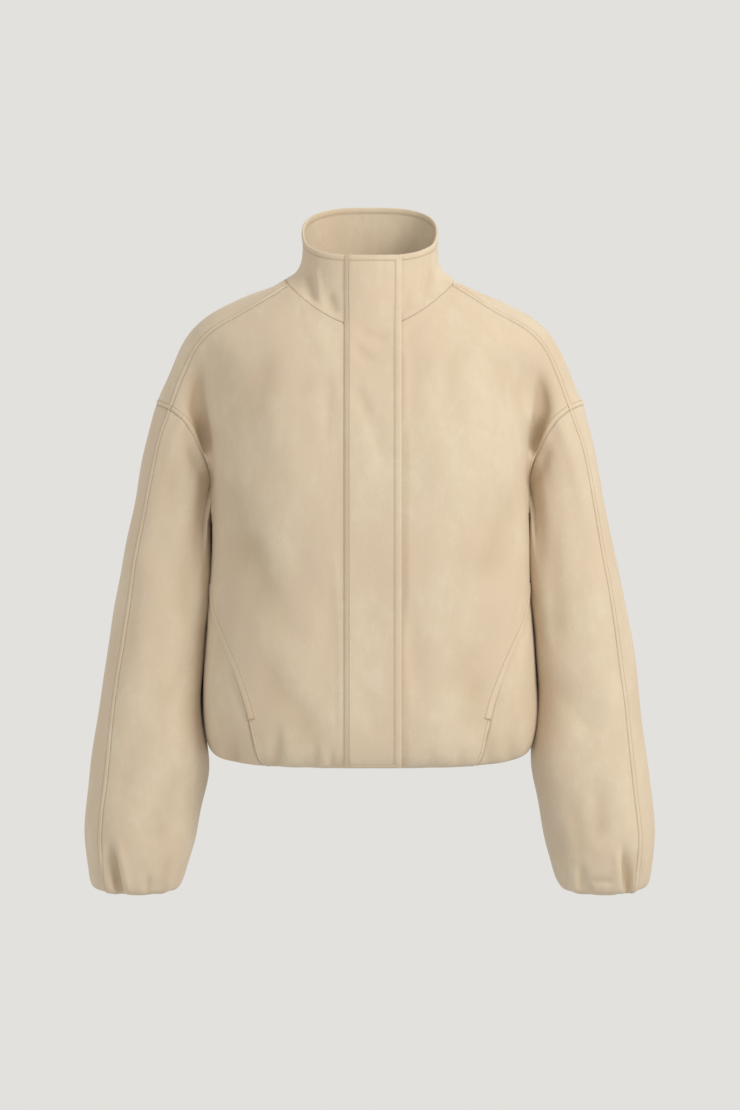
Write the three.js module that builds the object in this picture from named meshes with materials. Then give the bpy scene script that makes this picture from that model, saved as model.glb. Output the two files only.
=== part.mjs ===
// A cropped suede blouson jacket, closed up and filled out with no wearer.
// Millimetres, Z up. The front of the jacket looks towards -Y and the wearer's left is +X.
// The origin is the middle of the neck, level with the inner ends of the shoulders.

import * as THREE from 'three';

// Cloth and seams
const WALL = 2;
const SEAM_GAP = 0.3;
const FLAP_LIFT = 1.1;

// Heights
const HEM_Z = -530;
const CUFF_Z = -681;
const RIM_FRONT_Z = 24;
const RIM_BACK_Z = 86;
const NECK_FRONT_Z = -54;

// Neck and collar
const NECK_HALF = 90;
const RIM_HALF = 75.5;
const RIM_POWER = 2.7;
const RIM_FRONT_Y = -72;
const RIM_BACK_Y = 70;
const CLOSING_HALF_GAP = 0.4;

// Storm flap: its two long edges, from the middle of the front
const FLAP_RIGHT_EDGE = -28;
const FLAP_LEFT_EDGE = 33;

// Armhole: inner and outer edges of the curve, its top and its lowest side points
const ARMHOLE = { inner: 177, outer: 239.8, top: -137.2, low: -243, underarm: -259, power: 3.5 };
// The turn of the armhole where the shoulder seam meets it, and the turns around the sleeve's rings
// of that place and of the ends of the side panel
const CROSS_ANGLE = 25.8;
const SEAM_RING_ANGLE = 38;
const UNDERARM_RING_ANGLE = 15;

// How many strips the cloth is cut into
const COUNT = {
  neckFront: 8, neckBack: 10, shoulder: 8, overShoulder: 2, armFront: 6, underarm: 3, armBack: 9,
  sleeveBackSeam: 2, side: 15, sidePanel: 9, flap: 6, zip: 3,
};

// The body's level sections. A section is a rounded oblong: half its width, and its depth to the
// front and to the back of the middle plane.
const BODY = [
  { z: 60, halfWidth: 216, front: 74, back: 86 },
  { z: 0, halfWidth: 216, front: 80, back: 91 },
  { z: -48, halfWidth: 213, front: 88, back: 104 },
  { z: -75, halfWidth: 202, front: 96, back: 109 },
  { z: -92, halfWidth: 192, front: 101, back: 111 },
  { z: -112, halfWidth: 184, front: 106, back: 112 },
  { z: -150, halfWidth: 180, front: 113, back: 114 },
  { z: -200, halfWidth: 178.5, front: 119, back: 114 },
  { z: -250, halfWidth: 178, front: 121, back: 113 },
  { z: -310, halfWidth: 178.5, front: 121, back: 112 },
  { z: -345, halfWidth: 180.5, front: 121, back: 112 },
  { z: -400, halfWidth: 184, front: 122, back: 113 },
  { z: -447, halfWidth: 187.5, front: 123.5, back: 115 },
  { z: -470, halfWidth: 188.5, front: 124, back: 115.5 },
  { z: -495, halfWidth: 187, front: 122.5, back: 114 },
  { z: -512, halfWidth: 183.5, front: 119.5, back: 111 },
  { z: -522, halfWidth: 179.5, front: 115.5, back: 107 },
  { z: -528, halfWidth: 174, front: 110, back: 102 },
  { z: -530, halfWidth: 168, front: 105, back: 97 },
];
// How square the rounded oblong is: 2 is an oval
const BODY_POWER = 2.7;

// The sleeve's level sections: its outer and inner edges, half its depth, and its middle in Y
const SLEEVE = [
  { z: 60, outer: 130, inner: 36, halfDepth: 44, middle: 14 },
  { z: 20, outer: 160, inner: 66, halfDepth: 45, middle: 14 },
  { z: -20, outer: 184, inner: 90, halfDepth: 46, middle: 14 },
  { z: -49, outer: 199, inner: 105, halfDepth: 48, middle: 14 },
  { z: -74, outer: 212, inner: 118, halfDepth: 49, middle: 14 },
  { z: -99, outer: 223.5, inner: 134, halfDepth: 50, middle: 14 },
  { z: -129, outer: 236.5, inner: 152, halfDepth: 50, middle: 14 },
  { z: -150, outer: 243, inner: 163, halfDepth: 50, middle: 14 },
  { z: -184, outer: 251.5, inner: 173, halfDepth: 51, middle: 14 },
  { z: -250, outer: 263.5, inner: 179, halfDepth: 53, middle: 13 },
  { z: -296, outer: 274, inner: 177, halfDepth: 55, middle: 12 },
  { z: -353, outer: 285.5, inner: 178, halfDepth: 57, middle: 10 },
  { z: -405, outer: 295, inner: 182, halfDepth: 59, middle: 8 },
  { z: -465, outer: 303.5, inner: 185, halfDepth: 61, middle: 5 },
  { z: -534, outer: 312.5, inner: 181, halfDepth: 63, middle: 2 },
  { z: -575, outer: 317, inner: 187.5, halfDepth: 63, middle: 0 },
  { z: -609, outer: 320, inner: 194, halfDepth: 61.5, middle: -2 },
  { z: -632, outer: 319.5, inner: 199, halfDepth: 59, middle: -3 },
  { z: -652, outer: 317.5, inner: 204.5, halfDepth: 55.5, middle: -4 },
  { z: -667, outer: 315.5, inner: 208.5, halfDepth: 52.5, middle: -4 },
  { z: -677, outer: 311.5, inner: 213.5, halfDepth: 48, middle: -4 },
  { z: -681, outer: 304.5, inner: 220.5, halfDepth: 41.5, middle: -4 },
];
// How square the sleeve's rings are on their outer side, and where they lie against the body
const SLEEVE_POWER = 2.12;
const SLEEVE_INNER_POWER = 2.7;
const SLEEVE_CLEARANCE = 1;

// The forward shoulder seam, seen from the front, from the neck to the armhole
const SHOULDER_SEAM = [
  { x: 90, z: -5.6 },
  { x: 126, z: -28 },
  { x: 151, z: -42 },
  { x: 171, z: -54 },
  { x: 187, z: -68.5 },
  { x: 200, z: -89 },
  { x: 210.5, z: -113 },
];

// The line over the top of the back where the shoulders end and the back falls away
const YOKE_LINE = [
  { x: 226, drop: 0 },
  { x: 206, drop: 0 },
  { x: 190, drop: 0 },
  { x: 165, drop: 0 },
  { x: 138, drop: 0.5 },
  { x: 112, drop: 3 },
  { x: 88, drop: 8 },
  { x: 60, drop: 24 },
  { x: 30, drop: 40 },
  { x: 0, drop: 55 },
];

// Turns of the two side seams around the body, 0 at the middle front and 90 at the side
const SIDE_SEAMS = [
  { z: -230, front: 79, back: 101 },
  { z: -300, front: 82.5, back: 100 },
  { z: -336, front: 80.5, back: 100.5 },
  { z: -371, front: 70, back: 101 },
  { z: -396, front: 58.5, back: 101.5 },
  { z: -425, front: 48.5, back: 102 },
  { z: -468, front: 39.5, back: 102.5 },
  { z: -530, front: 35.5, back: 103 },
];

// The largest soft creases of the body, seen from the front or from the back: two ends, how wide
// each one is and how deep. A crease with a negative depth is a ridge.
const BODY_CREASES = [
  { face: 'front', x1: -150, z1: -150, x2: -95, z2: -230, width: 16, depth: 3 },
  { face: 'front', x1: 150, z1: -140, x2: 100, z2: -215, width: 17, depth: 3.2 },
  { face: 'front', x1: -70, z1: -505, x2: -66, z2: -560, width: 7, depth: 3 },
  { face: 'front', x1: -99, z1: -500, x2: -100, z2: -560, width: 7, depth: 2.6 },
  { face: 'front', x1: -52, z1: -512, x2: -48, z2: -560, width: 5, depth: -1.8 },
  { face: 'front', x1: 120, z1: -498, x2: 128, z2: -560, width: 8, depth: 3 },
  { face: 'front', x1: 62, z1: -512, x2: 64, z2: -560, width: 7, depth: 2 },
  { face: 'front', x1: -148, z1: -495, x2: -150, z2: -560, width: 9, depth: 3.2 },
  { face: 'front', x1: 152, z1: -505, x2: 156, z2: -560, width: 9, depth: 2.6 },
  { face: 'back', x1: -148, z1: -150, x2: -90, z2: -250, width: 18, depth: 3.6 },
  { face: 'back', x1: 146, z1: -155, x2: 96, z2: -240, width: 18, depth: 3.2 },
  { face: 'back', x1: -120, z1: -490, x2: -124, z2: -560, width: 12, depth: 3.2 },
  { face: 'back', x1: -66, z1: -500, x2: -64, z2: -560, width: 12, depth: 2.8 },
  { face: 'back', x1: -8, z1: -485, x2: -6, z2: -560, width: 13, depth: 3.4 },
  { face: 'back', x1: 52, z1: -502, x2: 54, z2: -560, width: 12, depth: 2.6 },
  { face: 'back', x1: 110, z1: -492, x2: 112, z2: -560, width: 12, depth: 3.2 },
];

// The sleeves' largest pleats at the cuff: the turn around the ring at their two ends, the heights
// of those ends, half their width and their depth. The turn is 0 at the front, 90 at the outside.
const SLEEVE_PLEATS = [
  { side: -1, turn1: 34, z1: -618, turn2: 14, z2: -684, width: 9, depth: 6.5 },
  { side: -1, turn1: 62, z1: -640, turn2: 55, z2: -684, width: 8, depth: 4 },
  { side: -1, turn1: -22, z1: -652, turn2: -26, z2: -684, width: 8, depth: 4 },
  { side: -1, turn1: -66, z1: -640, turn2: -62, z2: -684, width: 9, depth: 3.6 },
  { side: -1, turn1: 104, z1: -630, turn2: 100, z2: -684, width: 9, depth: 4.5 },
  { side: -1, turn1: 146, z1: -622, turn2: 150, z2: -684, width: 9, depth: 5 },
  { side: -1, turn1: 190, z1: -640, turn2: 192, z2: -684, width: 9, depth: 4.4 },
  { side: -1, turn1: 232, z1: -634, turn2: 230, z2: -684, width: 9, depth: 4 },
  { side: 1, turn1: 36, z1: -622, turn2: 22, z2: -684, width: 9, depth: 6.5 },
  { side: 1, turn1: 66, z1: -646, turn2: 62, z2: -684, width: 8, depth: 3.4 },
  { side: 1, turn1: -16, z1: -650, turn2: -20, z2: -684, width: 8, depth: 3.6 },
  { side: 1, turn1: -58, z1: -644, turn2: -60, z2: -684, width: 9, depth: 4 },
  { side: 1, turn1: 108, z1: -634, turn2: 104, z2: -684, width: 9, depth: 4.2 },
  { side: 1, turn1: 150, z1: -628, turn2: 148, z2: -684, width: 9, depth: 4.8 },
  { side: 1, turn1: 196, z1: -640, turn2: 192, z2: -684, width: 9, depth: 4 },
  { side: 1, turn1: 236, z1: -630, turn2: 238, z2: -684, width: 9, depth: 4.6 },
];

// The collar's soft creases, across x and the height up the collar from 0 at the seam to 1
const COLLAR_CREASES = [
  { x1: -73, v1: 0.92, x2: -56, v2: 0.1, width: 6, depth: 3.2 },
  { x1: -66, v1: 0.7, x2: -50, v2: 0.05, width: 5, depth: -2 },
  { x1: -44, v1: 0.45, x2: -36, v2: 0, width: 5, depth: 2.2 },
  { x1: 70, v1: 0.95, x2: 52, v2: 0.08, width: 6, depth: 3 },
  { x1: 60, v1: 0.7, x2: 46, v2: 0.1, width: 5, depth: -1.8 },
];

const DEGREE = Math.PI / 180;
const UP = new THREE.Vector3(0, 0, 1);

function mix(a, b, part) {
  return a + (b - a) * part;
}

function ease(from, to, value) {
  const part = THREE.MathUtils.clamp((value - from) / (to - from), 0, 1);
  return part * part * (3 - 2 * part);
}

function smoothMax(a, b, round) {
  return (a + b + Math.hypot(a - b, round)) / 2;
}

function smoothMin(a, b, round) {
  const overlap = Math.max(round - Math.abs(a - b), 0) / round;
  return Math.min(a, b) - overlap * overlap * round / 4;
}

// Reads one column of a table at any height, along a smooth curve through its rows
function column(rows, name, z) {
  const down = rows[0].z > rows[rows.length - 1].z ? -1 : 1;
  let i = 0;
  while (i < rows.length - 2 && (z - rows[i + 1].z) * down > 0) i += 1;
  const slope = (k) => {
    const before = rows[Math.max(k - 1, 0)];
    const after = rows[Math.min(k + 1, rows.length - 1)];
    return (after[name] - before[name]) / (after.z - before.z);
  };
  const step = rows[i + 1].z - rows[i].z;
  const t = THREE.MathUtils.clamp((z - rows[i].z) / step, 0, 1);
  const bend = t * (1 - t) * step;
  const straight = mix(rows[i][name], rows[i + 1][name], t * t * (3 - 2 * t));
  return straight + bend * ((1 - t) * slope(i) - t * slope(i + 1));
}

// The shoulder's outline and the rounding over it

function shoulderLine(x) {
  return 4 - 0.463 * (Math.abs(x) - NECK_HALF - 2);
}

function insideOutline(x, z) {
  const down = (shoulderLine(x) - z) * 0.907;
  const inward = (column(SLEEVE, 'outer', z) - Math.abs(x)) * 0.93;
  return Math.max(smoothMin(down, inward, 14), 0);
}

function arch(distance, radius) {
  const part = Math.min(distance / radius, 1);
  return Math.sqrt(1 - (1 - part) * (1 - part));
}

function sleeveRing(z) {
  const outer = column(SLEEVE, 'outer', z);
  const inner = column(SLEEVE, 'inner', z);
  return {
    centre: (outer + inner) / 2,
    half: (outer - inner) / 2,
    halfDepth: column(SLEEVE, 'halfDepth', z),
    middle: column(SLEEVE, 'middle', z),
  };
}

// How far the cloth lies in front of, or behind, the middle plane
function bodyDepth(face, x, z) {
  const across = Math.abs(x);
  const inside = insideOutline(x, z);
  const shape = Math.max(1 - (across / column(BODY, 'halfWidth', z)) ** BODY_POWER, 0);
  const chest = column(BODY, face, z) * shape ** (1 / BODY_POWER) * arch(inside, 95);
  const ring = sleeveRing(z);
  const inward = THREE.MathUtils.clamp((ring.centre - across) / ring.half, 0, 1);
  const armPart = Math.sqrt(1 - inward * inward) * arch(inside, ring.half);
  const arm = ring.halfDepth * armPart * ease(-264, -236, z);
  const round = mix(4, 24, ease(-112, -58, z)) * arch(inside, ring.half) * ease(-264, -236, z);
  return smoothMax(chest, arm, round);
}

function middlePlane(x) {
  return 14 * ease(90, 215, Math.abs(x));
}

function creaseDepth(creases, across, up) {
  let depth = 0;
  for (const crease of creases) {
    const alongX = crease.x2 - crease.x1;
    const alongZ = crease.z2 - crease.z1;
    const length2 = alongX * alongX + alongZ * alongZ;
    const part = ((across - crease.x1) * alongX + (up - crease.z1) * alongZ) / length2;
    const kept = THREE.MathUtils.clamp(part, 0, 1);
    const away = Math.hypot(across - crease.x1 - kept * alongX, up - crease.z1 - kept * alongZ);
    const taper = ease(-0.05, 0.45, part) * (crease.z2 < HEM_Z ? 1 : ease(1.05, 0.6, part));
    depth += crease.depth * Math.exp(-((away / crease.width) ** 2)) * taper;
  }
  return depth;
}

function frontPoint(x, z) {
  const creases = BODY_CREASES.filter((crease) => crease.face === 'front');
  const depth = bodyDepth('front', x, z) - creaseDepth(creases, x, z);
  return new THREE.Vector3(x, middlePlane(x) - depth, z);
}

function backPoint(x, z) {
  const creases = BODY_CREASES.filter((crease) => crease.face === 'back');
  const depth = bodyDepth('back', x, z) - creaseDepth(creases, x, z);
  return new THREE.Vector3(x, middlePlane(x) + depth, z);
}

// A point on the body below the armholes, by its turn around the body. The side is -1 or 1.
function bodyPoint(side, turn, z) {
  const part = Math.abs(Math.sin(turn * DEGREE)) ** (2 / BODY_POWER);
  const x = side * column(BODY, 'halfWidth', z) * part;
  const face = turn < 90 ? 'front' : 'back';
  const reach = Math.abs(Math.cos(turn * DEGREE)) ** (2 / BODY_POWER);
  const creases = BODY_CREASES.filter((crease) => crease.face === face);
  const depth = column(BODY, face, z) * reach - creaseDepth(creases, x, z) * reach;
  return new THREE.Vector3(x, middlePlane(x) + (turn < 90 ? -depth : depth), z);
}

// Seams

function armholePlace(turn) {
  const across = Math.abs(Math.cos(turn * DEGREE)) ** ARMHOLE.power;
  const down = Math.abs(Math.sin(turn * DEGREE)) ** ARMHOLE.power;
  return {
    x: ARMHOLE.inner + (ARMHOLE.outer - ARMHOLE.inner) * across,
    z: ARMHOLE.top + (ARMHOLE.low - ARMHOLE.top) * down,
  };
}

function armholeFront(side, turn) {
  const place = armholePlace(turn);
  return frontPoint(side * place.x, place.z);
}

function armholeBack(side, turn) {
  const place = armholePlace(turn);
  return backPoint(side * place.x, place.z);
}

function spread(count, from, to) {
  return Array.from({ length: count + 1 }, (_, i) => mix(from, to, i / count));
}

// The whole armhole of one side, in the order that it is sewn: from the end of the shoulder seam
// down the front, under the arm, up the back and over the shoulder to the seam again. Each point
// keeps its turn around the sleeve.
function armhole(side) {
  const ringFront = (turn) => {
    return mix(SEAM_RING_ANGLE, UNDERARM_RING_ANGLE - 90, (turn - CROSS_ANGLE) / (90 - CROSS_ANGLE));
  };
  const front = spread(COUNT.armFront, CROSS_ANGLE, 90).map((turn) => {
    return { point: armholeFront(side, turn), ring: ringFront(turn) };
  });
  const back = spread(COUNT.armBack, 90, 0).map((turn) => {
    return { point: armholeBack(side, turn), ring: mix(-270, -90 - UNDERARM_RING_ANGLE, turn / 90) };
  });
  const over = spread(COUNT.overShoulder, 0, CROSS_ANGLE).map((turn) => {
    const ring = mix(90, SEAM_RING_ANGLE, turn / CROSS_ANGLE) - 360;
    return { point: armholeFront(side, turn), ring };
  });
  const first = front[front.length - 1].point;
  const last = back[0].point;
  const under = spread(COUNT.underarm, 0, 1).slice(1, -1).map((part) => {
    const point = first.clone().lerp(last, part);
    const dip = Math.sin(part * Math.PI) ** 0.8;
    point.z += (ARMHOLE.underarm - ARMHOLE.low) * dip;
    point.x += side * 1.2 * dip;
    const ring = mix(UNDERARM_RING_ANGLE, -UNDERARM_RING_ANGLE, part) - 90;
    return { point, ring };
  });
  return [...front, ...under, ...back, ...over.slice(1)];
}

function throughPoints(points, count) {
  const curve = new THREE.CatmullRomCurve3(points, false, 'centripetal');
  curve.arcLengthDivisions = 400;
  return curve.getSpacedPoints(count);
}

function neckFrontHeight(x) {
  return NECK_FRONT_Z + (SHOULDER_SEAM[0].z - NECK_FRONT_Z) * (Math.abs(x) / NECK_HALF) ** 1.9;
}

function neckFront(side) {
  return spread(COUNT.neckFront, CLOSING_HALF_GAP, NECK_HALF).map((x) => {
    return frontPoint(side * x, neckFrontHeight(x));
  });
}

function shoulderSeam(side) {
  const cross = armholePlace(CROSS_ANGLE);
  const flat = [...SHOULDER_SEAM, cross].map((row) => new THREE.Vector3(row.x, 0, row.z));
  const points = throughPoints(flat, COUNT.shoulder).map((p) => frontPoint(side * p.x, p.z));
  points[COUNT.shoulder] = armholeFront(side, CROSS_ANGLE);
  return points;
}

// The back of the neck, from the wearer's right round to the left
function neckBack() {
  const rim = [
    frontPoint(-NECK_HALF, SHOULDER_SEAM[0].z),
    new THREE.Vector3(-93, -4, 3),
    new THREE.Vector3(-87, 22, 4.5),
    new THREE.Vector3(-66, 46, 5),
    new THREE.Vector3(-36, 65, 5.7),
  ];
  const middle = new THREE.Vector3(0, 72, 6);
  const other = rim.map((p) => new THREE.Vector3(-p.x, p.y, p.z)).reverse();
  return throughPoints([...rim, middle, ...other], COUNT.neckBack);
}

function yokeLine() {
  const half = YOKE_LINE.map((row) => {
    const edge = ridgeHeight(row.x);
    return new THREE.Vector3(row.x, 0, edge - row.drop);
  });
  const start = new THREE.Vector3(ARMHOLE.outer, 0, ARMHOLE.top);
  const right = [start, ...half];
  const count = COUNT.shoulder + COUNT.neckBack / 2;
  const points = throughPoints(right, count);
  const wearersRight = points.map((p) => backPoint(-p.x, p.z));
  const wearersLeft = points.map((p) => backPoint(p.x, p.z)).reverse();
  return [...wearersRight, ...wearersLeft.slice(1)];
}

// The height of the outline over a place on the shoulder
function ridgeHeight(x) {
  let low = -150;
  let high = 60;
  for (let i = 0; i < 40; i += 1) {
    const middle = (low + high) / 2;
    if (insideOutline(x, middle) > 0.02) low = middle;
    else high = middle;
  }
  return low;
}

function sideSeam(side, name) {
  const start = name === 'front' ? armholeFront(side, 90) : armholeBack(side, 90);
  const heights = sideHeights();
  const points = heights.map((z) => bodyPoint(side, column(SIDE_SEAMS, name, z), z));
  const lead = points[0].clone().sub(start);
  return points.map((point, i) => {
    const fade = Math.max(1 - i / 3, 0);
    return point.clone().addScaledVector(lead, -fade * fade);
  });
}

// The heights of the rows below the armholes, closer together where the hem rolls under
function sideHeights() {
  const roll = [-470, -492, -508, -519, -526, -529, HEM_Z];
  const plain = spread(COUNT.side - roll.length, ARMHOLE.low, roll[0]);
  return [...plain, ...roll.slice(1)];
}

// Grids. A grid is a list of rows, each a list of points on the outer face of the cloth.

function fractions(points) {
  const lengths = [0];
  for (let i = 1; i < points.length; i += 1) {
    lengths.push(lengths[i - 1] + points[i].distanceTo(points[i - 1]));
  }
  return lengths.map((length) => length / lengths[lengths.length - 1]);
}

// Fills a patch between four edges, seen from the front or the back, and lays it on the surface
function fillPatch(edges, across, down, surface) {
  const { top, bottom, first, last } = edges;
  const rows = first.map((_, i) => top.map((__, j) => {
    const s = down[i];
    const t = across[j];
    const blend = (axis) => {
      const vertical = mix(top[j][axis], bottom[j][axis], s);
      const level = mix(first[i][axis], last[i][axis], t);
      const ends = mix(top[0][axis], top[top.length - 1][axis], t);
      const feet = mix(bottom[0][axis], bottom[bottom.length - 1][axis], t);
      return vertical + level - mix(ends, feet, s);
    };
    return surface(blend('x'), blend('z'));
  }));
  rows[0] = top.map((p) => p.clone());
  rows[rows.length - 1] = bottom.map((p) => p.clone());
  first.forEach((p, i) => { rows[i][0] = p.clone(); });
  last.forEach((p, i) => { rows[i][top.length - 1] = p.clone(); });
  return rows;
}

function frontGrid(side) {
  const top = [...neckFront(side), ...shoulderSeam(side).slice(1)];
  const armEdge = armhole(side).slice(0, COUNT.armFront + 1).map((entry) => entry.point);
  const last = [...armEdge, ...sideSeam(side, 'front').slice(1)];
  const fullWidth = Math.abs(last[0].x) - CLOSING_HALF_GAP;
  const across = top.map((p) => (Math.abs(p.x) - CLOSING_HALF_GAP) / fullWidth);
  const lowest = last.length - 1;
  const down = last.map((p) => (p.z - last[0].z) / (HEM_Z - last[0].z));
  const first = down.map((s) => frontPoint(side * CLOSING_HALF_GAP, mix(NECK_FRONT_Z, HEM_Z, s)));
  const hemTurn = column(SIDE_SEAMS, 'front', HEM_Z);
  const hemX = bodyPoint(side, hemTurn, HEM_Z).x;
  const bottom = across.map((t) => frontPoint(mix(side * CLOSING_HALF_GAP, hemX, t), HEM_Z));
  bottom[0] = first[lowest].clone();
  bottom[bottom.length - 1] = last[lowest].clone();
  return fillPatch({ top, bottom, first, last }, across, down, (x, z) => frontPoint(x, z));
}

function backGrid() {
  const right = armhole(-1);
  const left = armhole(1);
  const edge = (hole, side) => {
    const upper = hole.slice(COUNT.armFront + COUNT.underarm).map((entry) => entry.point).reverse();
    return [...upper, ...sideSeam(side, 'back').slice(1)];
  };
  const first = edge(right, -1);
  const last = edge(left, 1);
  const top = [
    ...shoulderSeam(-1).reverse(),
    ...neckBack().slice(1, -1),
    ...shoulderSeam(1),
  ];
  const yoke = yokeLine();
  const start = COUNT.overShoulder;
  const strip = [top];
  for (let row = 1; row < start; row += 1) {
    strip.push(top.map((p, j) => {
      const part = row / start;
      const onShoulder = j <= COUNT.shoulder || j >= top.length - 1 - COUNT.shoulder;
      if (!onShoulder) return p.clone().lerp(yoke[j], part);
      const share = 1 - (1 - part) ** 2;
      return frontPoint(mix(p.x, yoke[j].x, share), mix(p.z, yoke[j].z, share));
    }));
    strip[row][0] = first[row].clone();
    strip[row][top.length - 1] = last[row].clone();
  }
  const across = yoke.map((p) => (p.x + ARMHOLE.outer) / (2 * ARMHOLE.outer));
  const lower = first.slice(start);
  const other = last.slice(start);
  const down = fractions(lower).map((part) => part ** 1.22);
  const hemX = lower[lower.length - 1].x;
  const bottom = across.map((t) => backPoint(mix(hemX, -hemX, t), HEM_Z));
  bottom[0] = lower[lower.length - 1].clone();
  bottom[bottom.length - 1] = other[other.length - 1].clone();
  const edges = { top: yoke, bottom, first: lower, last: other };
  const rest = fillPatch(edges, across, down, (x, z) => backPoint(x, Math.min(z, ridgeHeight(x))));
  return [...strip, ...rest];
}

function sideGrid(side) {
  const hole = armhole(side).slice(COUNT.armFront, COUNT.armFront + COUNT.underarm + 1);
  const top = splitEdges(hole.map((entry) => entry.point), COUNT.sidePanel / COUNT.underarm);
  const front = sideSeam(side, 'front');
  const back = sideSeam(side, 'back');
  const heights = sideHeights();
  return heights.map((z, i) => top.map((p, j) => {
    const t = j / COUNT.sidePanel;
    const turn = mix(column(SIDE_SEAMS, 'front', z), column(SIDE_SEAMS, 'back', z), t);
    const plain = bodyPoint(side, turn, z);
    const edgeShift = front[i].clone().sub(bodyPoint(side, column(SIDE_SEAMS, 'front', z), z));
    const backShift = back[i].clone().sub(bodyPoint(side, column(SIDE_SEAMS, 'back', z), z));
    plain.add(edgeShift.lerp(backShift, t));
    const dip = (p.z - ARMHOLE.low) * Math.max(1 - i / 3, 0);
    plain.z += dip;
    if (i === 0) return p.clone();
    return plain;
  }));
}

// Divides each straight stretch of an edge into equal parts
function splitEdges(points, parts) {
  const result = [points[0].clone()];
  for (let i = 1; i < points.length; i += 1) {
    for (let k = 1; k <= parts; k += 1) {
      result.push(points[i - 1].clone().lerp(points[i], k / parts));
    }
  }
  return result;
}

// Sleeves

function sleevePoint(side, turn, z) {
  const ring = sleeveRing(z);
  const sine = Math.sin(turn * DEGREE);
  const cosine = Math.cos(turn * DEGREE);
  const power = 2 / (sine < 0 ? SLEEVE_INNER_POWER : SLEEVE_POWER);
  const pleats = SLEEVE_PLEATS.filter((pleat) => pleat.side === side);
  const dent = pleatDepth(pleats, turn, z);
  let x = ring.centre + (ring.half - dent) * Math.sign(sine) * Math.abs(sine) ** power;
  const y = ring.middle - (ring.halfDepth - dent) * Math.sign(cosine) * Math.abs(cosine) ** power;
  const nearest = bodySideAt(y, z) + SLEEVE_CLEARANCE;
  x = smoothMax(x, nearest, 1);
  return new THREE.Vector3(side * x, y, z);
}

// How far out the body's side is, level with a point of the sleeve
function bodySideAt(y, z) {
  const face = y < 7 ? 'front' : 'back';
  const lowest = Math.max(z, HEM_Z);
  const depth = Math.min(Math.abs(y - 7) / column(BODY, face, lowest), 1);
  const side = column(BODY, 'halfWidth', lowest) * (1 - depth ** BODY_POWER) ** (1 / BODY_POWER);
  return side * ease(HEM_Z - 45, HEM_Z + 12, z);
}

function pleatDepth(pleats, turn, z) {
  let depth = 0;
  for (const pleat of pleats) {
    const part = THREE.MathUtils.clamp((z - pleat.z1) / (pleat.z2 - pleat.z1), 0, 1);
    const middle = mix(pleat.turn1, pleat.turn2, part);
    const away = THREE.MathUtils.euclideanModulo(turn - middle + 180, 360) - 180;
    depth += pleat.depth * Math.exp(-((away / pleat.width) ** 2)) * ease(0, 0.6, part);
  }
  return depth;
}

// The heights of a sleeve's rows, as shares of the way from the armhole to the cuff
const SLEEVE_ROWS = [0, 0.035, 0.08, 0.14, 0.205, 0.28, 0.36, 0.44, 0.52, 0.6, 0.68, 0.76, 0.83, 0.88,
  0.92, 0.952, 0.976, 0.992, 1];

function sleeveGrid(side, from, to) {
  const hole = armhole(side).slice(from, to + 1);
  const points = splitEdges(hole.map((entry) => entry.point), 2);
  const turns = splitNumbers(hole.map((entry) => entry.ring), 2);
  return SLEEVE_ROWS.map((share) => points.map((edge, j) => {
    const turn = turns[j];
    const under = ease(45, 20, Math.abs(THREE.MathUtils.euclideanModulo(turn, 360) - 270));
    const top = edge.clone();
    top.x += side * 0.8 * under;
    const z = mix(top.z, CUFF_Z, share);
    const point = sleevePoint(side, turn, z);
    const lead = top.clone().sub(sleevePoint(side, turn, top.z));
    const reach = mix(130, 40, under);
    const fade = Math.max(1 - (top.z - z) / reach, 0);
    return point.addScaledVector(lead, fade * fade);
  }));
}

function splitNumbers(numbers, parts) {
  const result = [numbers[0]];
  for (let i = 1; i < numbers.length; i += 1) {
    for (let k = 1; k <= parts; k += 1) result.push(mix(numbers[i - 1], numbers[i], k / parts));
  }
  return result;
}

// Collar

function collarBase() {
  const right = neckFront(-1);
  const left = neckFront(1).reverse();
  return [...right, ...neckBack().slice(1, -1), ...left];
}

// The rim is a level oval in plan, tilted up to the back
function rimPoint(base) {
  const deep = (RIM_BACK_Y - RIM_FRONT_Y) / 2;
  const middle = (RIM_BACK_Y + RIM_FRONT_Y) / 2;
  const turn = Math.atan2(Math.abs(base.x) / NECK_HALF, -(base.y + 7) / 79);
  const round = 2 / RIM_POWER;
  const narrow = RIM_HALF * Math.sin(turn) ** round;
  const straight = Math.abs(base.x);
  const across = mix(straight, narrow, base.y < 0 ? ease(25, 75, straight) : ease(0, 60, straight));
  const share = Math.min(across / RIM_HALF, 1);
  const reach = (1 - share ** RIM_POWER) ** (1 / RIM_POWER);
  const y = middle + (turn < Math.PI / 2 ? -1 : 1) * deep * reach;
  const z = mix(RIM_FRONT_Z, RIM_BACK_Z, (y - RIM_FRONT_Y) / (RIM_BACK_Y - RIM_FRONT_Y));
  return new THREE.Vector3(Math.sign(base.x) * across, y, z);
}

function collarPoint(base, v) {
  const rim = rimPoint(base);
  const sideways = (Math.abs(base.x) / NECK_HALF) ** 2;
  const lean = 1 - (1 - v) ** (1 + 5 * sideways);
  const point = base.clone().lerp(rim, lean);
  point.z = mix(base.z, rim.z, v);
  if (base.y > 0) return point;
  const tall = RIM_FRONT_Z - NECK_FRONT_Z;
  const rows = COLLAR_CREASES.map((crease) => {
    return { ...crease, z1: crease.v1 * tall, z2: crease.v2 * tall };
  });
  const depth = creaseDepth(rows, point.x, v * tall) * ease(0, 0.2, v);
  const outward = new THREE.Vector3(point.x, point.y, 0).normalize();
  return point.addScaledVector(outward, -depth);
}

const COLLAR_ROWS = [0, 0.12, 0.3, 0.5, 0.7, 0.88, 1];

function collarGrid() {
  const base = collarBase();
  return COLLAR_ROWS.map((v) => base.map((p) => collarPoint(p, v)));
}

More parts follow.
